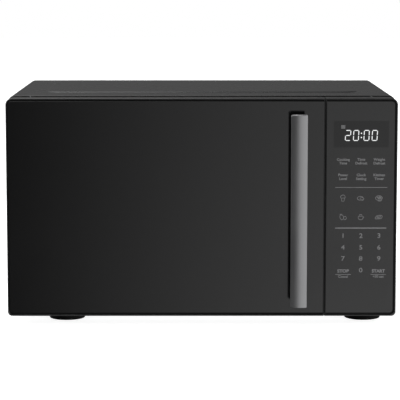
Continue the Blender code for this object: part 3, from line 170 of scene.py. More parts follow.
def plate(name, rect, radii, nearY, farY, edge=0.0003, steps=8):
    same = [0.0] * 4
    inner = [edge] * 4
    middle = [edge * 0.3] * 4
    stations = [(nearY, inner), (nearY + edge * 0.3, middle), (nearY + edge, same),
                (farY - edge, same), (farY - edge * 0.3, middle), (farY, inner)]
    return loft(name, [stationRing(rect, radii, station, steps) for station in stations])


def turned(name, profile, centre, axis=(0, 0, 1), steps=64, closed=False):
    # spins (radius, height) points round an axis; points on the axis close into poles
    turn = Vector(axis).to_track_quat("Z", "Y").to_matrix()
    work = bmesh.new()
    loops = []
    for step in range(steps):
        angle = math.tau * step / steps
        ring = []
        for radius, height in profile:
            local = Vector((radius * math.cos(angle), radius * math.sin(angle), height))
            ring.append(work.verts.new(Vector(centre) + turn @ local))
        loops.append(ring)
    count = len(profile)
    for one, other in zip(loops, loops[1:] + loops[:1]):
        for index in range(count if closed else count - 1):
            after = (index + 1) % count
            work.faces.new((one[index], one[after], other[after], other[index]))
    bmesh.ops.remove_doubles(work, verts=work.verts, dist=1e-7)
    bmesh.ops.dissolve_degenerate(work, edges=work.edges, dist=1e-8)
    return meshObject(name, work)


def turnTo(item, right, up, origin):
    # lays a mesh made in the XY plane into the plane of two directions
    right, up = Vector(right), Vector(up)
    matrix = Matrix((right, up, right.cross(up))).transposed().to_4x4()
    matrix.translation = Vector(origin)
    item.data.transform(matrix)
    return item


def give(item, material):
    item.data.materials.clear()
    item.data.materials.append(material)
    return item


def fit(item, body, finish=None, replaced=()):
    if finish:
        give(item, materials[finish])
    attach(item, body)
    if replaced:
        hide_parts(*replaced)
    return item


# helpers for node trees

def feed(tree, socket, value):
    # links an output, and writes anything else as the socket's value
    if isinstance(value, bpy.types.NodeSocket):
        tree.links.new(value, socket)
    else:
        socket.default_value = value


def dress(tree, sockets, **values):
    # an underscore in a name stands for the space in the socket's name
    for label, value in values.items():
        feed(tree, sockets[label.replace("_", " ")], value)


def chain(tree, kind, settings=None, **inputs):
    node = tree.nodes.new(kind)
    for label, value in (settings or {}).items():
        setattr(node, label, value)
    dress(tree, node.inputs, **inputs)
    return node


def out(tree, kind, settings=None, **inputs):
    return chain(tree, kind, settings, **inputs).outputs[0]


def openTree(name, kind, inputs, outputs):
    # returns the new group, its inputs as outputs to link from, and its outputs to link to
    tree = bpy.data.node_groups.new(name, kind)
    for label, socketKind, value in inputs:
        socket = tree.interface.new_socket(label, in_out="INPUT", socket_type="NodeSocket" + socketKind)
        if value is not None:
            socket.default_value = value
    for label, socketKind in outputs:
        tree.interface.new_socket(label, in_out="OUTPUT", socket_type="NodeSocket" + socketKind)
    return tree, tree.nodes.new("NodeGroupInput").outputs, tree.nodes.new("NodeGroupOutput").inputs


def byIndex(tree, kind, operation, first, second, clamp=False):
    node = chain(tree, kind, {"operation": operation})
    if clamp:
        node.use_clamp = True
    for socket, value in zip(node.inputs, (first, second)):
        feed(tree, socket, value)
    return node.outputs[0]


def maths(tree, operation, first, second=0.0, clamp=False):
    return byIndex(tree, "ShaderNodeMath", operation, first, second, clamp)


def scaled(tree, vector, factors):
    return byIndex(tree, "ShaderNodeVectorMath", "MULTIPLY", vector, factors)


def ranged(tree, value, fromMin=0.0, fromMax=1.0, toMin=0.0, toMax=1.0, soft=False):
    kind = {"interpolation_type": "SMOOTHSTEP" if soft else "LINEAR"}
    return out(tree, "ShaderNodeMapRange", kind, Value=value, From_Min=fromMin, From_Max=fromMax,
               To_Min=toMin, To_Max=toMax)


def blend(tree, factor, first, second):
    return out(tree, "ShaderNodeMix", Factor=factor, A=first, B=second)


def mixColour(tree, factor, first, second):
    node = chain(tree, "ShaderNodeMix", {"data_type": "RGBA"}, Factor=factor)
    for index, value in ((6, first), (7, second)):
        feed(tree, node.inputs[index], (*value, 1.0) if isinstance(value, tuple) else value)
    return node.outputs[2]


def placed(tree, group, **values):
    return chain(tree, "ShaderNodeGroup", {"node_tree": group}, **values).outputs


# shader groups that several finishes share

def makeGrainGroup():
    # fine surface texture: a height for the bump and a slow tone for colour and gloss
    tree, inputs, ends = openTree(
        "surfaceGrain", "ShaderNodeTree",
        [("Vector", "Vector", (0, 0, 0)), ("Stretch", "Vector", (1, 1, 1)), ("Scale", "Float", 900.0),
         ("Tone Scale", "Float", 14.0)], [("Height", "Float"), ("Tone", "Float")])
    stretched = scaled(tree, inputs["Vector"], inputs["Stretch"])
    fine = out(tree, "ShaderNodeTexNoise", Vector=stretched, Scale=inputs["Scale"], Detail=4.0)
    slow = out(tree, "ShaderNodeTexNoise", Vector=inputs["Vector"], Scale=inputs["Tone Scale"],
               Detail=5.0, Roughness=0.6)
    dress(tree, ends, Height=fine, Tone=slow)
    return tree


def makeDustGroup():
    # fine dust that settles where a surface faces up
    tree, inputs, ends = openTree(
        "settledDust", "ShaderNodeTree",
        [("Vector", "Vector", (0, 0, 0)), ("Amount", "Float", 0.2)], [("Mask", "Float")])
    normal = chain(tree, "ShaderNodeNewGeometry").outputs["Normal"]
    level = chain(tree, "ShaderNodeSeparateXYZ", Vector=normal).outputs[2]
    upward = maths(tree, "POWER", maths(tree, "MAXIMUM", level, 0.0), 3.0)
    cloud = out(tree, "ShaderNodeTexNoise", Vector=inputs["Vector"], Scale=9.0, Detail=6.0)
    specks = chain(tree, "ShaderNodeTexVoronoi", Vector=inputs["Vector"], Scale=260.0).outputs["Distance"]
    dots = maths(tree, "LESS_THAN", specks, 0.13)
    film = maths(tree, "MULTIPLY", upward, cloud)
    both = maths(tree, "ADD", film, maths(tree, "MULTIPLY", dots, maths(tree, "MULTIPLY", film, 1.6)))
    dress(tree, ends, Mask=maths(tree, "MULTIPLY", both, inputs["Amount"], True))
    return tree


def makeMarksGroup():
    # faint wiped streaks and finger marks that change the gloss
    tree, inputs, ends = openTree(
        "handMarks", "ShaderNodeTree",
        [("Vector", "Vector", (0, 0, 0)), ("Amount", "Float", 0.1)], [("Mask", "Float")])
    broad = out(tree, "ShaderNodeTexNoise", Vector=inputs["Vector"], Scale=7.0, Detail=3.0, Distortion=0.8)
    stretched = scaled(tree, inputs["Vector"], (0.15, 1.0, 1.0))
    streak = out(tree, "ShaderNodeTexNoise", Vector=stretched, Scale=60.0, Detail=2.0)
    mixed = maths(tree, "MULTIPLY", ranged(tree, broad, 0.48, 0.72), maths(tree, "ADD", streak, 0.3))
    dress(tree, ends, Mask=maths(tree, "MULTIPLY", mixed, inputs["Amount"], True))
    return tree


def makeSpeckleGroup():
    # the pale and dark flecks of fired enamel, also used for zinc, mica and circuit board surfaces
    tree, inputs, ends = openTree(
        "enamelSpeckle", "ShaderNodeTree",
        [("Vector", "Vector", (0, 0, 0)), ("Scale", "Float", 700.0), ("Size", "Float", 0.28)],
        [("Pale", "Float"), ("Dark", "Float")])
    for label, factor in (("Pale", 1.0), ("Dark", 1.37)):
        scale = maths(tree, "MULTIPLY", inputs["Scale"], factor)
        cells = chain(tree, "ShaderNodeTexVoronoi", Vector=inputs["Vector"], Scale=scale).outputs["Distance"]
        dress(tree, ends, **{label: ranged(tree, cells, 0.0, inputs["Size"], 1.0, 0.0)})
    return tree


grainGroup = makeGrainGroup()
dustGroup = makeDustGroup()
marksGroup = makeMarksGroup()
speckleGroup = makeSpeckleGroup()

# every finish: two tones, gloss range, grain (scale, stretch, bump), dust and marks
finishes = {
    "caseCoat": {"dark": (0.0115, 0.0115, 0.0118), "pale": (0.0150, 0.0150, 0.0154), "rough": (0.25, 0.30),
                 "grain": 1500.0, "bump": 0.05, "dust": 0.015},
    "frameMould": {"dark": (0.010, 0.010, 0.0103), "pale": (0.014, 0.014, 0.0143), "rough": (0.24, 0.31),
                   "grain": 2200.0, "bump": 0.06, "dust": 0.03},
    "doorBlack": {"dark": (0.0014, 0.0014, 0.0015), "pale": (0.0021, 0.0021, 0.0022), "rough": (0.05, 0.09),
                  "grain": 60.0, "bump": 0.0015, "marks": 0.05, "tone": 6.0},
    "panelBlack": {"dark": (0.004, 0.004, 0.0042), "pale": (0.0055, 0.0055, 0.0057), "rough": (0.06, 0.11),
                   "grain": 60.0, "bump": 0.0015, "marks": 0.06, "tone": 8.0},
    "displayPane": {"dark": (0.002, 0.002, 0.0022), "pale": (0.003, 0.003, 0.0032), "rough": (0.08, 0.12),
                    "grain": 60.0, "bump": 0.001, "tone": 12.0, "specular": 0.41},
    "handleSatin": {"dark": (0.25, 0.25, 0.255), "pale": (0.30, 0.30, 0.305), "rough": (0.38, 0.45),
        "metal": 1.0,
                    "grain": 900.0, "stretch": (1.0, 1.0, 0.03), "bump": 0.05, "marks": 0.04},
    # painted shade: a duller black for the frame groove and the door gap
    "paintedShadeBlack": {"dark": (0.004, 0.004, 0.004), "pale": (0.007, 0.007, 0.007), "rough": (0.55, 0.65),
                    "grain": 2200.0, "bump": 0.05, "specular": 0.2},
    "legendInk": {"dark": (0.20, 0.20, 0.205), "pale": (0.24, 0.24, 0.245), "rough": (0.45, 0.55),
                  "grain": 3000.0, "bump": 0.02},
    "zincSheet": {"dark": (0.44, 0.45, 0.47), "pale": (0.62, 0.63, 0.64), "rough": (0.30, 0.44), "metal": 0.7,
                  "grain": 500.0, "bump": 0.03, "speckle": (160.0, 0.7),
                  "fleck": ((0.70, 0.71, 0.72), (0.36, 0.37, 0.39))},
    "enamelGrey": {"dark": (0.26, 0.265, 0.27), "pale": (0.30, 0.305, 0.31), "rough": (0.22, 0.30),
                   "grain": 300.0, "bump": 0.02, "speckle": (620.0, 0.30),
                   "fleck": ((0.44, 0.445, 0.45), (0.15, 0.15, 0.155))},
    "screenCoat": {"dark": (0.010, 0.010, 0.010), "pale": (0.016, 0.016, 0.017), "rough": (0.38, 0.5),
                   "grain": 1600.0, "bump": 0.04},
    "paleNylon": {"dark": (0.62, 0.61, 0.57), "pale": (0.72, 0.71, 0.67), "rough": (0.38, 0.5),
        "grain": 1400.0, "bump": 0.05},
    "micaSheet": {"dark": (0.40, 0.33, 0.24), "pale": (0.60, 0.52, 0.40), "rough": (0.35, 0.6),
                  "grain": 160.0, "stretch": (1.0, 1.0, 0.3), "bump": 0.05, "speckle": (420.0, 0.22),
                  "fleck": ((0.75, 0.70, 0.60), (0.25, 0.19, 0.12))},
    "circuitBoard": {"dark": (0.012, 0.10, 0.045), "pale": (0.03, 0.19, 0.08), "rough": (0.3, 0.45),
                     "grain": 260.0, "stretch": (1.0, 0.2, 1.0), "bump": 0.10, "speckle": (330.0, 0.20),
                     "fleck": ((0.65, 0.63, 0.58), (0.01, 0.05, 0.02))},
    "castAlloy": {"dark": (0.50, 0.51, 0.52), "pale": (0.64, 0.65, 0.66), "rough": (0.32, 0.46), "metal": 1.0,
                  "grain": 1200.0, "stretch": (1.0, 0.1, 1.0), "bump": 0.05},
    "ferriteCore": {"dark": (0.03, 0.03, 0.033), "pale": (0.06, 0.06, 0.065), "rough": (0.45, 0.6),
        "grain": 1500.0, "bump": 0.10},
    "switchBody": {"dark": (0.05, 0.05, 0.055), "pale": (0.09, 0.09, 0.095), "rough": (0.4, 0.5),
        "grain": 1800.0, "bump": 0.05},
    "plungerRed": {"dark": (0.42, 0.02, 0.015), "pale": (0.55, 0.04, 0.03), "rough": (0.3, 0.42),
        "grain": 1800.0, "bump": 0.03},
    "footRubber": {"dark": (0.0018, 0.0018, 0.0018), "pale": (0.004, 0.004, 0.004), "rough": (0.55, 0.7),
        "grain": 1600.0,
                   "bump": 0.14, "dust": 0.02, "specular": 0.08},
    "screwSteel": {"dark": (0.30, 0.30, 0.31), "pale": (0.48, 0.48, 0.49), "rough": (0.25, 0.4), "metal": 1.0,
                   "grain": 2400.0, "bump": 0.06},
}


def startMaterial(name):
    made = bpy.data.materials.new(name)
    made.use_nodes = True
    tree = made.node_tree
    where = chain(tree, "ShaderNodeTexCoord").outputs["Object"]
    return made, tree, tree.nodes["Principled BSDF"].inputs, where


def bumpOf(tree, grain, strength, distance):
    return out(tree, "ShaderNodeBump", Strength=strength, Distance=distance, Height=grain["Height"])


def finishMaterial(name, look):
    made, tree, sockets, where = startMaterial(name)
    grain = placed(tree, grainGroup, Vector=where, Scale=look["grain"], Tone_Scale=look.get("tone", 14.0),
                   Stretch=look.get("stretch", (1.0, 1.0, 1.0)))
    colour = mixColour(tree, grain["Tone"], look["dark"], look["pale"])
    if "speckle" in look:
        scale, size = look["speckle"]
        flecks = placed(tree, speckleGroup, Vector=where, Scale=scale, Size=size)
        for label, tone in zip(("Pale", "Dark"), look["fleck"]):
            colour = mixColour(tree, maths(tree, "MULTIPLY", flecks[label], 0.55), colour, tone)
    rough = ranged(tree, grain["Tone"], 0.3, 0.7, *look["rough"])
    if "marks" in look:
        marks = placed(tree, marksGroup, Vector=where, Amount=look["marks"])
        rough = maths(tree, "ADD", rough, marks["Mask"], True)
    if "dust" in look:
        dust = placed(tree, dustGroup, Vector=where, Amount=look["dust"])["Mask"]
        colour = mixColour(tree, dust, colour, (0.35, 0.34, 0.32))
        rough = maths(tree, "ADD", rough, maths(tree, "MULTIPLY", dust, 0.5), True)
    dress(tree, sockets, Base_Color=colour, Roughness=rough, Metallic=look.get("metal", 0.0),
          Specular_IOR_Level=look.get("specular", 0.5), Normal=bumpOf(tree, grain, look["bump"], 0.0004))
    return made


def clearMaterial(name, tint, rough, thin, grainScale):
    # see-through pieces: pressed glass, lamp glass and the window sheet
    made, tree, sockets, where = startMaterial(name)
    grain = placed(tree, grainGroup, Vector=where, Scale=grainScale, Tone_Scale=11.0)
    colour = mixColour(tree, grain["Tone"], tint, tuple(min(1.0, part * 1.05) for part in tint))
    gloss = ranged(tree, grain["Tone"], toMin=rough, toMax=rough + 0.04)
    dress(tree, sockets, Base_Color=colour, Transmission_Weight=thin, IOR=1.47, Roughness=gloss,
          Normal=bumpOf(tree, grain, 0.03, 0.0005))
    return made


def litMaterial(name, colour, strength):
    # the clock's lit segments, with a faint random change in brightness
    made, tree, sockets, where = startMaterial(name)
    grain = placed(tree, grainGroup, Vector=where, Scale=1500.0, Tone_Scale=500.0)
    glow = mixColour(tree, grain["Tone"], tuple(part * 0.9 for part in colour), colour)
    dress(tree, sockets, Base_Color=(0.6, 0.6, 0.6, 1.0), Emission_Color=glow, Emission_Strength=strength,
          Roughness=0.4)
    return made


materials = {name: finishMaterial(name, look) for name, look in finishes.items()}
materials["trayGlass"] = clearMaterial("trayGlass", (0.90, 0.96, 0.94), 0.015, 1.0, 70.0)
materials["lampGlass"] = clearMaterial("lampGlass", (0.96, 0.95, 0.90), 0.01, 0.9, 300.0)
materials["windowSheet"] = clearMaterial("windowSheet", (0.82, 0.84, 0.84), 0.03, 0.96, 40.0)
materials["clockLight"] = litMaterial("clockLight", (0.80, 0.82, 0.83), 0.74)
print("finishes made,", len(materials))


# geometry node trees for what repeats

def openShape(name, inputs):
    inputs = [("Geometry", "Geometry", None)] + inputs + [("Material", "Material", None)]
    return openTree(name, "GeometryNodeTree", inputs, [("Geometry", "Geometry")])


def joined(tree, *parts):
    node = tree.nodes.new("GeometryNodeJoinGeometry")
    for part in parts:
        tree.links.new(part, node.inputs[0])
    return node.outputs[0]


def gridPoints(tree, columns, rows, pitchX, pitchY):
    alongX = out(tree, "ShaderNodeCombineXYZ", X=pitchX)
    alongY = out(tree, "ShaderNodeCombineXYZ", Y=pitchY)
    line = out(tree, "GeometryNodeMeshLine", Count=columns, Offset=alongX)
    column = out(tree, "GeometryNodeMeshLine", Count=rows, Offset=alongY)
    spread = out(tree, "GeometryNodeInstanceOnPoints", Points=line, Instance=column)
    return out(tree, "GeometryNodeRealizeInstances", Geometry=spread)


def raised(tree, face, depth):
    up = out(tree, "ShaderNodeCombineXYZ", Z=1.0)
    return chain(tree, "GeometryNodeExtrudeMesh", Mesh=face, Offset=up, Offset_Scale=depth).outputs


def backed(tree, block, face):
    # closes a raised face with its own back
    base = out(tree, "GeometryNodeFlipFaces", Mesh=face)
    return out(tree, "GeometryNodeMergeByDistance", Geometry=joined(tree, block, base), Distance=1e-6)


def closeShape(tree, points, instance, inputs, ends, merge=False):
    spread = out(tree, "GeometryNodeInstanceOnPoints", Points=points, Instance=instance)
    real = out(tree, "GeometryNodeRealizeInstances", Geometry=spread)
    if merge:
        real = out(tree, "GeometryNodeMergeByDistance", Geometry=real, Distance=1e-6)
    dress(tree, ends, Geometry=out(tree, "GeometryNodeSetMaterial", Geometry=real,
        Material=inputs["Material"]))
    return tree


def makeSlotTree():
    # rows of round-ended slots as closed blocks that cut vents
    tree, inputs, ends = openShape("slotRows", [
        ("Columns", "Int", 8), ("Rows", "Int", 1), ("Pitch X", "Float", 0.007), ("Pitch Y", "Float", 0.03),
        ("Slot Width", "Float", 0.003), ("Slot Length", "Float", 0.02), ("Corner", "Float", 0.0014),
        ("Depth", "Float", 0.01)])
    points = gridPoints(tree, inputs["Columns"], inputs["Rows"], inputs["Pitch X"], inputs["Pitch Y"])
    outline = out(tree, "GeometryNodeCurvePrimitiveQuadrilateral", Width=inputs["Slot Width"],
                  Height=inputs["Slot Length"])
    soft = out(tree, "GeometryNodeFilletCurve", {"mode": "POLY"}, Curve=outline, Radius=inputs["Corner"],
        Count=5)
    face = out(tree, "GeometryNodeFillCurve", {"mode": "NGONS"}, Curve=soft)
    solid = backed(tree, raised(tree, face, inputs["Depth"])[0], face)
    return closeShape(tree, points, solid, inputs, ends)


def makeScreenTree():
    # a sheet with a round hole in each of its square cells
    tree, inputs, ends = openShape("piercedSheet", [
        ("Columns", "Int", 20), ("Rows", "Int", 10), ("Pitch", "Float", 0.003),
        ("Hole Radius", "Float", 0.001),
        ("Thickness", "Float", 0.0006)])
    pitch = inputs["Pitch"]
    points = gridPoints(tree, inputs["Columns"], inputs["Rows"], pitch, pitch)
    square = out(tree, "GeometryNodeCurvePrimitiveQuadrilateral", Width=pitch, Height=pitch)
    circle = out(tree, "GeometryNodeCurvePrimitiveCircle", Resolution=8, Radius=inputs["Hole Radius"])
    face = out(tree, "GeometryNodeFillCurve", {"mode": "TRIANGLES"}, Curve=joined(tree, square, circle))
    block = raised(tree, face, inputs["Thickness"])
    where = out(tree, "GeometryNodeInputPosition")
    split = chain(tree, "ShaderNodeSeparateXYZ", Vector=where).outputs
    edge = maths(tree, "MULTIPLY", pitch, 0.499)
    # the outer walls of a cell go, so that the cells join into one sheet
    outX, outY = (maths(tree, "GREATER_THAN", maths(tree, "ABSOLUTE", part), edge)
        for part in (split[0], split[1]))
    rim = maths(tree, "MULTIPLY", maths(tree, "MAXIMUM", outX, outY), block["Side"])
    pierced = out(tree, "GeometryNodeDeleteGeometry", {"domain": "FACE"}, Geometry=block[0], Selection=rim)
    return closeShape(tree, points, backed(tree, pierced, face), inputs, ends, merge=True)


def makeScrewTree():
    # a pan-head screw with a cross recess on each point of the object's mesh
    tree, inputs, ends = openShape("screwHeads", [("Radius", "Float", 0.004), ("Height", "Float", 0.0015)])
    radius, height = inputs["Radius"], inputs["Height"]
    head = out(tree, "GeometryNodeMeshCone", Vertices=28, Side_Segments=3, Depth=height,
               Radius_Top=maths(tree, "MULTIPLY", radius, 0.78), Radius_Bottom=radius)
    longSide, thinSide = (maths(tree, "MULTIPLY", radius, share) for share in (1.05, 0.24))
    cross = chain(tree, "GeometryNodeMeshBoolean", {"operation": "DIFFERENCE"})
    tree.links.new(head, cross.inputs["Mesh 1"])
    for first, second in ((longSide, thinSide), (thinSide, longSide)):
        size = out(tree, "ShaderNodeCombineXYZ", X=first, Y=second, Z=height)
        lift = out(tree, "ShaderNodeCombineXYZ", Z=maths(tree, "MULTIPLY", height, 0.95))
        bar = out(tree, "GeometryNodeTransform", Geometry=out(tree, "GeometryNodeMeshCube", Size=size),
                  Translation=lift)
        tree.links.new(bar, cross.inputs["Mesh 2"])
    points = out(tree, "GeometryNodeMeshToPoints", Mesh=inputs["Geometry"])
    return closeShape(tree, points, cross.outputs["Mesh"], inputs, ends)


slotTree = makeSlotTree()
screenTree = makeScreenTree()
screwTree = makeScrewTree()


def grow(name, tree, values):
    # runs a tree on one point and returns its result as a plain mesh object
    work = bmesh.new()
    work.verts.new((0, 0, 0))
    item = meshObject(name, work, flip=False)
    step = item.modifiers.new(tree.name, "NODES")
    step.node_group = tree
    sockets = {entry.name: entry.identifier for entry in tree.interface.items_tree if entry.in_out == "INPUT"}
    for label, value in values.items():
        step[sockets[label]] = value
    return settle(item)


print("trees made")

# the outer case: bent sheet with a raised field on top and cooling slots in the right side
caseLook = {"bend": 0.009, "sheet": 0.0008, "overFrame": 0.0008, "fieldHalfWidth": 0.200,
    "fieldFront": -0.063,
            "fieldBack": 0.180, "fieldCorner": 0.020, "slotColumns": 12, "slotPitch": 0.007,
            "slotWidth": 0.003, "slotLength": 0.022, "slotCorner": 0.0014, "slotDeep": 0.006,
            "slotRows": (0.048, 0.083), "slotFirst": 0.148}


def sectionU(half, top, foot, bend, sheet):
    inner = bend - sheet
    left, right, level = -half + bend, half - bend, top - bend
    return [(-half, foot), *arc(left, level, bend, 180, 90), *arc(right, level, bend, 90, 0), (half, foot),
            (half - sheet, foot), *arc(right, level, inner, 0, 90), *arc(left, level, inner, 90, 180),
            (-half + sheet, foot)]


def makeCase(look):
    low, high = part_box("outer_case")
    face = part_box("door_frame")[1].z + look["overFrame"]
    # the front and back edges of the sheet are eased
    rings = []
    for y, ease in ((low.y, 0.0004), (low.y + 0.0002, 0.00015), (low.y + 0.0005, 0.0),
                    (high.y - 0.0005, 0.0), (high.y, 0.0003)):
        section = sectionU(high.x - ease, face - ease, low.z, look["bend"] - ease, look["sheet"] - ease)
        rings.append([(x, y, z) for x, z in section])
    case = loft("caseShell", rings)
    # the soft step round the pressed field: inset and share of the rise
    steps = ((0.0, 0.0), (0.0003, 0.04), (0.0006, 0.16), (0.0010, 0.42), (0.0014, 0.70), (0.0018, 0.89),
             (0.0023, 0.98), (0.0029, 1.0))
    rise, half, corner = high.z - face, look["fieldHalfWidth"], look["fieldCorner"]
    rings = []
    for inset, level in [(0.0, face - 0.0004)] + [(inset, face + share * rise) for inset, share in steps]:
        outline = roundRect((-half + inset, look["fieldFront"] + inset),
                            (half - inset, look["fieldBack"] - inset), [corner - inset] * 4, 12)
        rings.append([(x, y, level) for x, y in outline])
    combine(case, "UNION", loft("field", rings))
    columns, rows, pitch = look["slotColumns"], look["slotRows"], look["slotPitch"]
    cutter = grow("slotCutter", slotTree, {
        "Columns": columns, "Rows": len(rows), "Pitch X": pitch, "Pitch Y": rows[1] - rows[0],
        "Slot Width": look["slotWidth"], "Slot Length": look["slotLength"], "Corner": look["slotCorner"],
        "Depth": look["slotDeep"]})
    cutter.data.transform(Matrix.Translation((0, 0, -look["slotDeep"] / 2)))
    turnTo(cutter, (0, 1, 0), (0, 0, 1), (high.x, look["slotFirst"] - (columns - 1) * pitch, rows[0]))
    combine(case, "DIFFERENCE", cutter)
    polish(case, 32)
    return fit(case, "oven", "caseCoat", ["outer_case"])


makeCase(caseLook)
print("case made")

# the moulded frames round the door glass and the control panel
frameLook = {"topCorner": 0.008, "footCorner": 0.0053, "glassCorner": 0.0042, "edge": 0.0009, "lip": 0.0003,
             "hingeRound": 0.0087, "wall": 0.0022, "reveal": 0.0012, "revealDeep": 0.004, "drop": 0.0004,
             "gapCorner": 0.0003, "gapEdge": 0.25, "toGap": 0.0012, "shadeStripPlay": 0.0004, "shadeStripDeep": 0.004,
             "panePlay": 0.0003, "ledge": 0.004, "window": (-0.184, 0.067, 0.078, 0.217),
             "windowCorner": 0.006,
             "pocket": (-0.225, 0.016, 0.1487, 0.2792), "pocketCorner": 0.003}


def insetsTo(outer, inner):
    # how far an inner rectangle lies in from each side of an outer one
    return [inner[0] - outer[0], inner[1] - outer[1], outer[2] - inner[2], outer[3] - inner[3]]


def edgeStations(front, edge, sides):
    # the small round along the front edge, tighter on the side by the gap
    found = []
    for part in range(6):
        angle = math.radians(18 * part)
        inset = edge * (1 - math.cos(angle))
        found.append((front + edge * (1 - math.sin(angle)), [inset * side for side in sides]))
    return found


def grooveStations(front, floor, rim, cornerRadii, look):
    # a narrow lip, then a dark groove down beside the pane
    lip = [min(part - 0.0002, look["edge"] + look["lip"]) for part in rim]
    foot = [min(part - 0.0001, look["edge"] + look["lip"] + 0.0003) for part in rim]
    wide = [radius * 1.45 for radius in cornerRadii]
    return [(front, lip, wide), (front + 0.0003, foot, wide), (floor - 0.0002, foot, wide),
        (floor, rim, cornerRadii)]


def paintGrooveShade(item, outer, front, floor, look):
    # the groove beside the pane is real, but its faces and the frame's sides in the door gap take a dull
    # black finish: painted shade
    item.data.materials.append(materials["paintedShadeBlack"])
    inside = look["edge"] + look["lip"] + 0.0001
    gapLow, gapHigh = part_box("door_frame")[1].x - 0.0005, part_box("control_panel_frame")[0].x + 0.0005
    for face in item.data.polygons:
        centre = face.center
        within = outer[0] + inside < centre.x < outer[2] - inside and outer[1] + inside < centre.z < outer[
            3] - inside
        beside = abs(face.normal.x) > 0.7 and gapLow < centre.x < gapHigh
        if beside or within and front + 0.0002 < centre.y < floor + 0.0004:
            face.material_index = 1
    return item


def makeFrame(name, node, pane, body, look):
    low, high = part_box(node)
    paneLow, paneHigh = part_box(pane)
    door = body == "door"
    shift = 0.0 if door else look["toGap"]
    outer = (low.x - shift, low.z, high.x, high.z - look["drop"])
    play, wall, square = look["panePlay"], look["wall"], [look["gapCorner"]] * 2
    glass, step = [look["glassCorner"]] * 2, [0.0, 0.0, 0.0, look["reveal"]]
    if door:
        radii, paneRadii = [*square, look["topCorner"], look["footCorner"]], square + glass
        sides = (1.0, 1.0, look["gapEdge"], 1.0)
    else:
        radii, paneRadii = [look["footCorner"], look["topCorner"], *square], glass + square
        sides = (look["gapEdge"], 1.0, 1.0, 1.0)
    stations = []
    for part in range(7 if door else 0):
        angle, turn = math.radians(15 * part), look["hingeRound"]
        stations.append((high.y - turn * (1 - math.cos(angle)), [turn * (1 - math.sin(angle)), *step[1:]]))
    if not door:
        stations.append((high.y, step))
    deep = high.y - look["revealDeep"]
    stations += [(deep, step), (deep - 0.0002, [0.0] * 4)]
    stations += edgeStations(low.y, look["edge"], sides)
    rim = insetsTo(outer, (paneLow.x - shift - play, paneLow.z - play, paneHigh.x + play, paneHigh.z + play))
    floor = paneHigh.y + play
    stations += grooveStations(low.y, floor, rim, paneRadii, look)
    if door:
        opening = (insetsTo(outer, look["window"]), [look["windowCorner"]] * 4)
        hollow = (insetsTo(outer, look["pocket"]), [look["pocketCorner"]] * 4)
    else:
        opening, hollow = ([part + look["ledge"] for part in rim], paneRadii), ([wall] * 4, paneRadii)
    stations += [(floor, *opening), (floor + wall, *opening), (floor + wall, *hollow), (high.y, *hollow)]
    made = polish(frameSweep(name, outer, radii, stations), 35)
    fit(made, body, "frameMould", [node])
    return paintGrooveShade(made, outer, low.y, floor, look)


def makeGapShadeStrip(look):
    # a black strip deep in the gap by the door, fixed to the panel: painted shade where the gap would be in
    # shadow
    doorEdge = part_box("door_frame")[1].x
    low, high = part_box("control_panel_frame")
    left, right = doorEdge + look["shadeStripPlay"], low.x - look["toGap"] + 0.0002
    near, far = low.y + look["shadeStripDeep"], low.y + look["shadeStripDeep"] + 0.003
    shadeStrip = loft("gapShadeStrip", [[(left, near, z), (right, near, z), (right, far, z), (left, far, z)]
                            for z in (low.z + 0.0001, high.z - 0.003)])
    return fit(shadeStrip, "oven", "paintedShadeBlack")


makeFrame("doorSurround", "door_frame", "door_glass", "door", frameLook)
makeFrame("panelSurround", "control_panel_frame", "control_panel_fascia", "oven", frameLook)
makeGapShadeStrip(frameLook)

# the two polished front panes
paneLook = {"corner": 0.0040, "edge": 0.00035}


def makePane(node, name, body, finish, look):
    low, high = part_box(node)
    radii = [frameLook["gapCorner"]] * 2 + [look["corner"]] * 2
    if body == "oven":
        radii = radii[2:] + radii[:2]
        low.x -= frameLook["toGap"]
    made = plate(name, (low.x, low.z, high.x, high.z), radii, low.y, high.y, look["edge"], 10)
    return fit(polish(made, 50), body, finish, [node])


makePane("door_glass", "doorPane", "door", "doorBlack", paneLook)
makePane("control_panel_fascia", "panelPane", "oven", "panelBlack", paneLook)
print("frames and panes made")

# the bar handle, its crowned front and its two posts
handleLook = {"crown": 0.0016, "edge": 0.0008, "toLeft": 0.0006, "back": -0.181, "backRound": 0.002,
              "cornerDrop": 0.0016, "postHalf": 0.006, "postRound": 0.0025,
              "posts": ((0.0348, 0.0548), (0.2395, 0.2595))}


def barSection(halfWidth, front, look, shrink=0.0):
    half = halfWidth - shrink
    edge, crown, turn = look["edge"], look["crown"], look["backRound"]
    points = []
    for step in range(21):
        share = -1 + step / 10
        points.append((share * (half - edge), front + shrink * 0.8 + crown * share * share))
    side = front + crown + shrink * 0.8
    for step in range(1, 6):
        angle = math.radians(18 * step)
        points.append((half - edge + edge * math.sin(angle), side + edge * (1 - math.cos(angle))))
    back = look["back"] - shrink - turn
    points += arc(half - turn, back, turn, 0, 90, 6) + arc(-half + turn, back, turn, 90, 180, 6)
    for step in range(5):
        angle = math.radians(90 - 18 * step)
        points.append((-half + edge - edge * math.sin(angle), side + edge * (1 - math.cos(angle))))
    return points


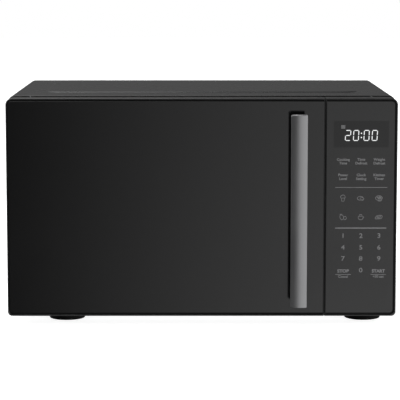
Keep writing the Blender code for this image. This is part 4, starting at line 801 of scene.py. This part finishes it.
def makeHandle(look):
    low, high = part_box("handle_bar")
    centre = (low.x + high.x) / 2 - look["toLeft"]
    half, drop = (high.x - low.x) / 2, look["cornerDrop"]
    rings = []
    # the left side of each end is cut away at a slant
    for height, shrink, lean in ((low.z, 0.0008, 1.0), (low.z + 0.0004, 0.0002, 0.8),
            (low.z + drop, 0.0, 0.0),
                                 (high.z - drop, 0.0, 0.0), (high.z - 0.0004, 0.0002, 0.8),
                                 (high.z, 0.0008, 1.0)):
        rings.append([(centre + x + drop * lean * max(0.0, -x / half), y, height)
                      for x, y in barSection(half, low.y, look, shrink)])
    bar = loft("handleBar", rings)
    for bottom, top in look["posts"]:
        outline = roundRect((centre - look["postHalf"], bottom), (centre + look["postHalf"], top),
                            [look["postRound"]] * 4, 6)
        post = loft("handlePost", [[(x, y, z) for x, z in outline] for y in (look["back"] - 0.001, high.y)])
        combine(bar, "UNION", post)
    polish(bar, 30)
    return fit(bar, "door", "handleSatin", ["handle_bar"])


makeHandle(handleLook)
print("handle made")

# the printed legends: each label is (words, cap height, weight, width, x, z)
panelLook = {"printLift": 0.00005, "printDeep": 0.00004, "wordCap": 0.0031, "numberCap": 0.0056,
             "functionCap": 0.0038, "heavier": 0.035, "bolder": 0.065, "slimmer": 0.022, "wordWide": 1.06,
             "numberWide": 1.16, "numberShift": 0.0006, "lineThin": 0.00065, "lineThick": 0.0014,
             "iconLine": 0.00065, "columns": (0.1743, 0.1965, 0.2188),
             "wordRows": ((0.2079, ("Cooking", "Time", "Weight")), (0.2033, ("Time", "Defrost", "Defrost")),
                          (0.1887, ("Power", "Clock", "Kitchen")), (0.1840, ("Level", "Setting", "Timer"))),
             "numberRows": (0.1131, 0.0985, 0.0845),
             "labels": (("0", "numberCap", "slimmer", 1.16, 0.1972, 0.0700),
                        ("STOP", "functionCap", "bolder", 1.10, 0.1753, 0.0688),
                        ("START", "functionCap", "bolder", 1.02, 0.2191, 0.0688),
                        ("Cancel", "wordCap", "heavier", 1.0, 0.1753, 0.0619),
                        ("+30 sec", "wordCap", "heavier", 1.0, 0.2191, 0.0619)),
             "rules": ((0.1647, 0.2289, 0.1731, "lineThin"), (0.1652, 0.2283, 0.1225, "lineThick"),
                       (0.1657, 0.1851, 0.0644, "lineThin"), (0.2094, 0.2287, 0.0644, "lineThin")),
             "iconRows": ((0.1597, ("muffin", "loaf", "plate")), (0.1361, ("pear", "pot", "fillet")))}
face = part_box("control_panel_fascia")[0].y

# six outline symbols for cooking programmes: a unit, then (closed, points) in that unit
icons = {
    "muffin": (0.00082, [(False, arc(0, 1.6, 3.4, -20, 200, 16)),
                         (False, [(-2.6, -0.2), (-1.6, -4.6), (1.6, -4.6), (2.6, -0.2)]),
                         (False, [(-3.2, 0.3), (3.2, 0.3)])]),
    "loaf": (0.001, [(False, arc(-0.7, -0.1, 3.7, 20, 320, 20, 0.62)),
                     (False, arc(1.6, -0.9, 2.1, -170, 130, 14, 0.8)),
                     (False, [(1.0, 0.9), (-0.6, 0.4), (-1.2, -0.8)])]),
    "plate": (0.001, [(True, arc(0, 0.3, 4.2, 0, 345, 24, 0.68)),
                      (False, arc(0.8, -1.2, 3.0, 200, 340, 10, 0.8)),
                      *((True, arc(x, z, 0.75, 0, 315, 8))
                        for x, z in ((-1.6, 0.9), (0.9, 1.4), (0.1, -0.6), (2.3, 0.2)))]),
    "pear": (0.001, [(True, [(-3.6, 1.6), (-2.4, 2.8), (-0.9, 2.6), (0.9, 0.9), (1.2, -1.4), (0.1, -3.0),
                             (-1.6, -3.3), (-3.3, -1.2)]),
                     (False, arc(2.8, -1.1, 1.7, -130, 150, 12, 1.2)),
                     (False, [(-3.0, 2.4), (-3.4, 3.8), (-1.8, 3.4), (-0.6, 3.9)])]),
    "pot": (0.00086, [(True, [(-3.4, 1.4), (-3.4, -1.6), (-2.0, -3.6), (2.0, -3.6), (3.4, -1.6), (3.4, 1.4)]),
                      (False, [(-1.6, 2.4), (-1.6, 3.8), (1.6, 3.8), (1.6, 2.4)]),
                      (False, [(3.6, 0.8), (4.8, 0.2), (3.6, -1.2)])]),
    "fillet": (0.001, [(True, [(-4.6, -1.4), (-2.6, 1.6), (0.6, 2.4), (4.0, 2.0), (4.6, 0.9), (3.2, -1.6),
                               (1.4, -2.0), (-4.0, -2.2)]),
                       *((False, [(x, -1.4), (x + 1.3, 1.4)]) for x in (-2.2, -0.6, 1.0))])}


def textMesh(words, cap, x, z, y, deep, heavier, wider):
    curve = bpy.data.curves.new("words", "FONT")
    curve.body = words
    curve.align_x = "CENTER"
    curve.size = cap / 0.70
    curve.extrude = deep / 2
    curve.resolution_u = 3
    curve.offset = cap * heavier
    item = bpy.data.objects.new("words", curve)
    bpy.context.scene.collection.objects.link(item)
    bpy.context.view_layer.update()
    graph = bpy.context.evaluated_depsgraph_get()
    made = bpy.data.meshes.new_from_object(item.evaluated_get(graph), depsgraph=graph)
    bpy.data.objects.remove(item)
    made.transform(Matrix.Diagonal((wider, 1.0, 1.0, 1.0)))
    flat = bpy.data.objects.new("words", made)
    bpy.context.scene.collection.objects.link(flat)
    return turnTo(flat, (1, 0, 0), (0, 0, 1), (x, y, z - cap / 2))


def ribbon(points, width, y, deep, closed=False):
    # a thin flat line through points in the XZ plane, as a closed solid
    count = len(points)
    work = bmesh.new()
    loops = []
    for index, point in enumerate(points):
        before = Vector(points[index - 1] if closed or index else point)
        after = Vector(points[(index + 1) % count] if closed or index < count - 1 else point)
        along = (after - before).normalized()
        side = Vector((-along.y, along.x)) * width / 2
        middle = Vector(point)
        ring = []
        for offset, level in ((side, y), (-side, y), (-side, y + deep), (side, y + deep)):
            place = middle + offset
            ring.append(work.verts.new((place.x, level, place.y)))
        loops.append(ring)
    ringFaces(work, loops, closed)
    return meshObject("ribbon", work)


def makeLegends(look):
    level, deep, columns = face - look["printLift"], look["printDeep"], look["columns"]
    labels = []
    for z, words in look["wordRows"]:
        labels += [(word, "wordCap", "heavier", look["wordWide"], x, z) for word, x in zip(words, columns)]
    for row, z in enumerate(look["numberRows"]):
        labels += [(str(row * 3 + column + 1), "numberCap", "slimmer", look["numberWide"],
                    x + look["numberShift"], z) for column, x in enumerate(columns)]
    labels += look["labels"]
    parts = [textMesh(words, look[cap], x, z, level, deep, look[weight], wide)
             for words, cap, weight, wide, x, z in labels]
    for left, right, z, thick in look["rules"]:
        parts.append(ribbon([(left, z), (right, z)], look[thick], level, deep))
    for z, kinds in look["iconRows"]:
        for kind, x in zip(kinds, columns):
            unit, lines = icons[kind]
            for closed, points in lines:
                spots = [(x + unit * a, z + unit * b) for a, b in points]
                parts.append(ribbon(spots, look["iconLine"], level, deep, closed))
    return fit(joinAll("panelLegends", parts), "oven", "legendInk")


# the lit clock on its pane; a digit is drawn with the bars a to g
clockLook = {"pane": (0.1624, 0.2227, 0.2302, 0.2554), "paneCorner": 0.0009, "paneLift": 0.00004,
             "paneDeep": 0.0005, "paneEdge": 0.00003, "lift": 0.00009, "deep": 0.00006, "middle": 0.2375,
             "digits": (("2", 0.1800), ("0", 0.1899), ("0", 0.2028), ("0", 0.2128)), "digitWide": 0.0071,
             "digitTall": 0.0134, "segment": 0.00096, "segmentShare": 0.88, "slant": 0.05,
             "dotX": 0.1964, "dots": (0.2401, 0.2350), "dotRadius": 0.0008, "symbol": (0.1716, 0.2460),
             "cellPitch": (0.0017, 0.0015), "cell": (0.0014, 0.0012)}


def segmentShape(x, z, length, thick, upright):
    # one long six-sided bar of a clock digit
    half, point = length / 2, thick / 2
    outline = [(-half, 0), (-half + point, point), (half - point, point), (half, 0), (half - point, -point),
               (-half + point, -point)]
    return [(x + (b if upright else a), z + (a if upright else b)) for a, b in outline]


def digitOutlines(number, x, look):
    lit = {"0": "abcdef", "2": "abged"}[number]
    z, thick = look["middle"], look["segment"]
    across, tall = look["digitWide"] - thick, (look["digitTall"] - thick) / 2
    places = {"a": (0, tall, False), "g": (0, 0, False), "d": (0, -tall, False),
              "b": (across / 2, tall / 2, True), "c": (across / 2, -tall / 2, True),
              "f": (-across / 2, tall / 2, True), "e": (-across / 2, -tall / 2, True)}
    shapes = []
    for name in lit:
        offsetX, offsetZ, upright = places[name]
        length = (tall if upright else across) * look["segmentShare"]
        bar = segmentShape(x + offsetX, z + offsetZ, length, thick, upright)
        shapes.append([(px + (pz - z) * look["slant"], pz) for px, pz in bar])
    return shapes


def makeDisplay(look):
    pane = plate("clockPane", look["pane"], [look["paneCorner"]] * 4, face - look["paneLift"],
                 face + look["paneDeep"], look["paneEdge"], 5)
    fit(polish(pane, 30), "oven", "displayPane")
    near = face - look["lift"]

    def prism(outline):
        return loft("prism", [[(x, y, z) for x, z in outline] for y in (near, near + look["deep"])])

    outlines = []
    for number, x in look["digits"]:
        outlines += digitOutlines(number, x, look)
    outlines += [arc(look["dotX"], z, look["dotRadius"], 0, 330, 11) for z in look["dots"]]
    digits = joinAll("clockDigits", [prism(outline) for outline in outlines])
    fit(digits, "oven", "clockLight")
    # the small grid symbol over the digits
    cells = []
    for column in range(3):
        for row in range(3):
            x, z = look["symbol"][0] + column * look["cellPitch"][0], look["symbol"][1] + row * look[
                "cellPitch"][1]
            right, top = x + look["cell"][0], z + look["cell"][1]
            cells.append(prism([(x, z), (right, z), (right, top), (x, top)]))
    fit(joinAll("clockSymbol", cells), "oven", "legendInk")


makeLegends(panelLook)
makeDisplay(clockLook)
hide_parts("display_module")
print("control panel made")

# feet with a moulded collar and a ribbed rubber pad
feetLook = {"collar": 0.0012, "ridge": 0.0006}


def makeFoot(node, look):
    low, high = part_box(node)
    centre = ((low.x + high.x) / 2, (low.y + high.y) / 2, 0.0)
    wide, tall = (high.x - low.x) / 2, high.z
    pad, ridge, collar = wide * 0.865, look["ridge"], look["collar"]
    profile = [(0.0, 0.0012), (pad * 0.45, 0.0012), (pad * 0.5, 0.0), (pad * 0.62, 0.0), (pad * 0.66, ridge),
               (pad * 0.74, ridge), (pad * 0.78, 0.0), (pad - 0.0010, 0.0), (pad - 0.0003, 0.0003),
               (pad, 0.0010),
               (wide - collar - 0.0002, tall - 0.0030), (wide - collar, tall - 0.0026),
               (wide - 0.0004, tall - 0.0024), (wide, tall - 0.0020), (wide, tall - 0.0004),
               (wide - 0.0004, tall), (0.0, tall)]
    made = smooth(turned(node + "_pad", profile, centre, steps=72), 30)
    return fit(made, "oven", "footRubber", [node])


for node in ("front_left_foot", "front_right_foot", "rear_left_foot", "rear_right_foot"):
    makeFoot(node, feetLook)

# the pressed glass tray with its rolled rim and three raised rings
trayLook = {"rings": (0.030, 0.058, 0.086), "ringRise": 0.0007, "thick": 0.0042}


def makeTray(look):
    low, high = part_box("glass_tray")
    centreX, centreY = (low.x + high.x) / 2, (low.y + high.y) / 2
    radius = (high.x - low.x) / 2
    floor = low.z + look["thick"]
    top = []
    station = 0.0
    while station < radius * 0.84:
        near = min(abs(station - ring) for ring in look["rings"])
        rise = look["ringRise"] * math.exp(-(near / 0.0013) ** 2)
        top.append((station, floor + rise))
        station += 0.0009 if near < 0.004 else 0.004
    rim = [(radius * 0.874, floor), (radius * 0.90, floor + 0.0010), (radius * 0.925, floor + 0.0036),
           (radius * 0.950, floor + 0.0070), (radius * 0.970, high.z - 0.0012),
           (radius * 0.980, high.z - 0.0003),
           (radius * 0.988, high.z), (radius * 0.996, high.z - 0.0004), (radius, high.z - 0.0016),
           (radius * 0.996, high.z - 0.0030), (radius * 0.975, high.z - 0.0052),
           (radius * 0.950, floor + 0.0022),
           (radius * 0.925, floor - 0.0012), (radius * 0.900, low.z + 0.0008), (radius * 0.872, low.z),
           (0.0, low.z)]
    made = turned("glassTray", top + rim, (centreX, centreY, 0.0), steps=120)
    smooth(made, 60)
    return fit(made, "glass_tray", "trayGlass", ["glass_tray"])


makeTray(trayLook)


def makeRollers():
    for joint in frame["joints"]:
        name = joint["child"]
        if not name.startswith("roller_") or name == "roller_ring":
            continue
        low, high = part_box(name)
        axis = Vector(joint["axis"])
        centre = (low + high) / 2
        radius = (high.z - low.z) / 2
        half = max(abs((vertex.co - centre).dot(axis)) for vertex in frame["nodes"][name].data.vertices)
        near = [(radius * 0.24, -half), (radius * 0.42, -half), (radius * 0.46, -half + 0.0006),
                (radius * 0.72, -half + 0.0006), (radius * 0.76, -half), (radius - 0.0006, -half),
                (radius - 0.0001, -half + 0.0004), (radius, -half + 0.001)]
        profile = near + [(across, -height) for across, height in reversed(near)]
        made = smooth(turned(name + "_wheel", profile, centre, axis, 48, closed=True), 35)
        fit(made, name, "paleNylon", [name])


makeRollers()
print("feet, tray and rollers made")

# the perforated screen in the door window, and the screws at the back
screenLook = {"pitch": 0.0032, "holeRadius": 0.00112, "border": 0.008, "corner": 0.0015}
screwLook = {"radius": 0.0040, "height": 0.0021}


def makeScreen(look):
    low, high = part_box("window_screen")
    pitch, border = look["pitch"], look["border"]
    columns, rows = int((high.x - low.x - 2 * border) / pitch), int((high.z - low.z - 2 * border) / pitch)
    sheet = grow("screenSheet", screenTree, {"Columns": columns, "Rows": rows, "Pitch": pitch,
                                             "Hole Radius": look["holeRadius"], "Thickness": high.y - low.y,
                                             "Material": materials["screenCoat"]})
    middleX, middleZ = (low.x + high.x) / 2, (low.z + high.z) / 2
    turnTo(sheet, (1, 0, 0), (0, 0, 1),
        (middleX - (columns - 1) * pitch / 2, high.y, middleZ - (rows - 1) * pitch / 2))
    holeX, holeZ = columns * pitch / 2, rows * pitch / 2
    # the plain border: the hole's corners are each given once for every point of an outer corner
    outer = roundRect((low.x, low.z), (high.x, high.z), [look["corner"]] * 4, 3)
    inner = [(middleX + signX * holeX, middleZ + signZ * holeZ)
             for signX, signZ in ((1, -1), (1, 1), (-1, 1), (-1, -1)) for point in outer[:4]]
    rings = [[(x, y, z) for x, z in ring] for ring, y in ((outer, low.y), (outer, high.y), (inner, high.y),
                                                          (inner, low.y))]
    work = bmesh.new()
    ringFaces(work, [[work.verts.new(point) for point in ring] for ring in rings], closed=True)
    bmesh.ops.remove_doubles(work, verts=work.verts, dist=1e-6)
    bmesh.ops.dissolve_degenerate(work, edges=work.edges, dist=1e-7)
    made = joinAll("windowScreen", (sheet, meshObject("screenBorder", work)), merge=False)
    return fit(made, "door", "screenCoat", ["window_screen"])


def makeRearScrews(look):
    nodes = [f"rear_screw_{index}" for index in range(1, 5)]
    heads = []
    for node in nodes:
        low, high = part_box(node)
        head = grow(node + "_head", screwTree, {"Radius": look["radius"], "Height": look["height"]})
        heads.append(turnTo(head, (-1, 0, 0), (0, 0, 1),
                            ((low.x + high.x) / 2, high.y - look["height"], (low.z + high.z) / 2)))
    made = smooth(joinAll("rearScrews", heads, merge=False), 30)
    return fit(made, "oven", None, nodes)


makeScreen(screenLook)
makeRearScrews(screwLook)
print("screen and screws made")

# the latch's coil spring, with closed ends
springLook = {"wire": 0.0005, "turns": 8, "steps": 20, "sides": 8, "endPitch": 2.1, "travel": 0.004}


def makeSpring(look):
    low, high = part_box("latch_spring")
    wire, turns = look["wire"], look["turns"]
    middle = (low + high) / 2
    radius = (high.x - low.x) / 2 - wire
    bottom, top = low.z + wire, high.z - wire
    closed = wire * look["endPitch"]
    work = bmesh.new()
    loops = []
    for step in range(turns * look["steps"] + 1):
        turn = step / look["steps"]
        angle = math.tau * turn
        share = min(max((turn - 1) / (turns - 2), 0.0), 1.0)
        z = bottom + closed * (min(turn, 1.0) + max(turn - turns + 1, 0.0)) + (top - bottom - 2
            * closed) * share
        away = Vector((math.cos(angle), math.sin(angle), 0.0))
        place = Vector((middle.x, middle.y, z)) + away * radius
        ring = []
        for side in range(look["sides"]):
            around = math.tau * side / look["sides"]
            offset = away * math.cos(around) + Vector((0, 0, 1)) * math.sin(around)
            ring.append(work.verts.new(place + offset * wire))
        loops.append(ring)
    ringFaces(work, loops)
    spring = smooth(meshObject("latchSpring", work), 60)
    fit(spring, "door", "screwSteel", ["latch_spring"])
    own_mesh(spring)
    return spring


makeSpring(springLook)
print("spring made")

# every other node keeps its own shape and takes one of the finishes
nodeFinish = {
    "zincSheet": "rear_panel base_plate choke_frame upper_hinge lower_hinge turntable_motor waveguide "
                 "lamp_holder",
    "enamelGrey": "front_plate cavity_liner", "frameMould": "choke_cover",
    "windowSheet": "inner_window touch_key_film", "lampGlass": "cavity_lamp", "micaSheet": "waveguide_cover",
    "paleNylon": "latch_key turntable_coupler roller_ring fan_blade interlock_bracket",
    "castAlloy": "magnetron fan_motor inverter_heat_sink", "ferriteCore": "inverter_transformer",
    "switchBody": "fan_shroud air_duct primary_switch secondary_switch monitor_switch inverter_tray",
    "plungerRed": "primary_plunger secondary_plunger monitor_plunger",
    "circuitBoard": "control_board inverter_board noise_filter_board", "footRubber": "cord_grommet",
    "screwSteel": "lower_handle_screw upper_handle_screw"}
finishOf = {node: finish for finish, nodes in nodeFinish.items() for node in nodes.split()}

for node, item in frame["nodes"].items():
    if node in finishOf:
        give(item, materials[finishOf[node]])
    elif not item.hide_render:
        print("no finish for", node)
print("finishes given to the remaining nodes")

# the stage: a pale floor, a room to reflect, soft lights, and the camera
stageLook = {"floorTone": 0.80, "paperGlow": 0.90, "leftGlow": 0.035, "farLeft": 0.12, "rightGlow": 1.08,
             "backGlow": 0.132, "asideGlow": 0.55, "topLeft": 1.5, "topRight": 0.05}
# each light: place, aim, width, height, power
lightLook = {"overheadPanel": ((-0.75, -0.1, 1.9), (-0.3, 0.0, 0.1), 1.4, 1.8, 23.2),
             "rightPanel": ((1.9, -1.0, 0.7), (0.1, -0.15, 0.15), 1.0, 1.4, 6.0),
             "leftPanel": ((-2.0, -0.6, 0.6), (-0.2, -0.15, 0.15), 0.8, 1.4, 2.0)}
cameraLook = {"lens": 171.15, "sensor": 36.0, "place": (-0.0072, -2.4855, 0.447), "tilt": 82.92,
    "turn": -0.124}


def makeFloor(look):
    work = bmesh.new()
    bmesh.ops.create_circle(work, cap_ends=True, segments=64, radius=9.0)
    floor = meshObject("floor", work)
    made, tree, sockets, where = startMaterial("floorPaper")
    grain = placed(tree, grainGroup, Vector=where, Scale=400.0, Tone_Scale=1.5)
    tone = look["floorTone"]
    colour = mixColour(tree, grain["Tone"], (tone,) * 3, (tone * 1.02,) * 3)
    # the paper looks lit from below to the lens, so shadows on it stay faint
    seen = chain(tree, "ShaderNodeLightPath").outputs["Is Camera Ray"]
    dress(tree, sockets, Base_Color=colour, Roughness=0.9, Emission_Color=(1.0, 1.0, 1.0, 1.0),
          Emission_Strength=maths(tree, "MULTIPLY", seen, look["paperGlow"]))
    give(floor, made)
    floor.visible_glossy = False
    return floor


def areaLight(name, place, aim, width, height, power):
    lamp = bpy.data.lights.new(name, "AREA")
    lamp.shape = "RECTANGLE"
    lamp.size, lamp.size_y, lamp.energy = width, height, power
    item = bpy.data.objects.new(name, lamp)
    bpy.context.scene.collection.objects.link(item)
    item.location = place
    item.rotation_euler = (Vector(aim) - Vector(place)).to_track_quat("-Z", "Y").to_euler()
    return item


def makeWorld(look):
    # what polished faces see: dim to the front left, bright to the front right, soft above and behind
    world = bpy.data.worlds.new("softRoom")
    bpy.context.scene.world = world
    world.use_nodes = True
    tree = world.node_tree
    tree.nodes.clear()
    where = chain(tree, "ShaderNodeTexCoord").outputs["Generated"]
    x, y, z = chain(tree, "ShaderNodeSeparateXYZ", Vector=where).outputs
    across = ranged(tree, x, -0.16, 0.13, look["leftGlow"], look["rightGlow"], soft=True)
    far = ranged(tree, x, -0.30, -0.80, 0.0, look["farLeft"])
    front = maths(tree, "ADD", maths(tree, "MULTIPLY", across, ranged(tree, z, -0.20, -0.05, 1.16, 0.88)),
        far)
    aside = ranged(tree, maths(tree, "ABSOLUTE", x), 0.35, 0.85, look["backGlow"], look["asideGlow"])
    overhead = ranged(tree, x, -0.13, 0.03, look["topLeft"], look["topRight"], soft=True)
    level = blend(tree, ranged(tree, y, -0.2, 0.3), front, aside)
    level = blend(tree, ranged(tree, z, 0.35, 0.8), level, overhead)
    seen = chain(tree, "ShaderNodeLightPath").outputs["Is Camera Ray"]
    background = out(tree, "ShaderNodeBackground", Color=(1.0, 1.0, 1.0, 1.0),
                     Strength=blend(tree, seen, level, 1.0))
    chain(tree, "ShaderNodeOutputWorld", Surface=background)


def makeCamera(look):
    lens = bpy.data.cameras.new("camera")
    lens.lens, lens.sensor_width = look["lens"], look["sensor"]
    eye = bpy.data.objects.new("camera", lens)
    bpy.context.scene.collection.objects.link(eye)
    eye.location = look["place"]
    eye.rotation_euler = (math.radians(look["tilt"]), 0.0, math.radians(look["turn"]))
    bpy.context.scene.camera = eye


makeFloor(stageLook)
makeWorld(stageLook)
for name, values in lightLook.items():
    areaLight(name, *values)
makeCamera(cameraLook)
bpy.context.scene.view_settings.view_transform = "Standard"
print("stage made")
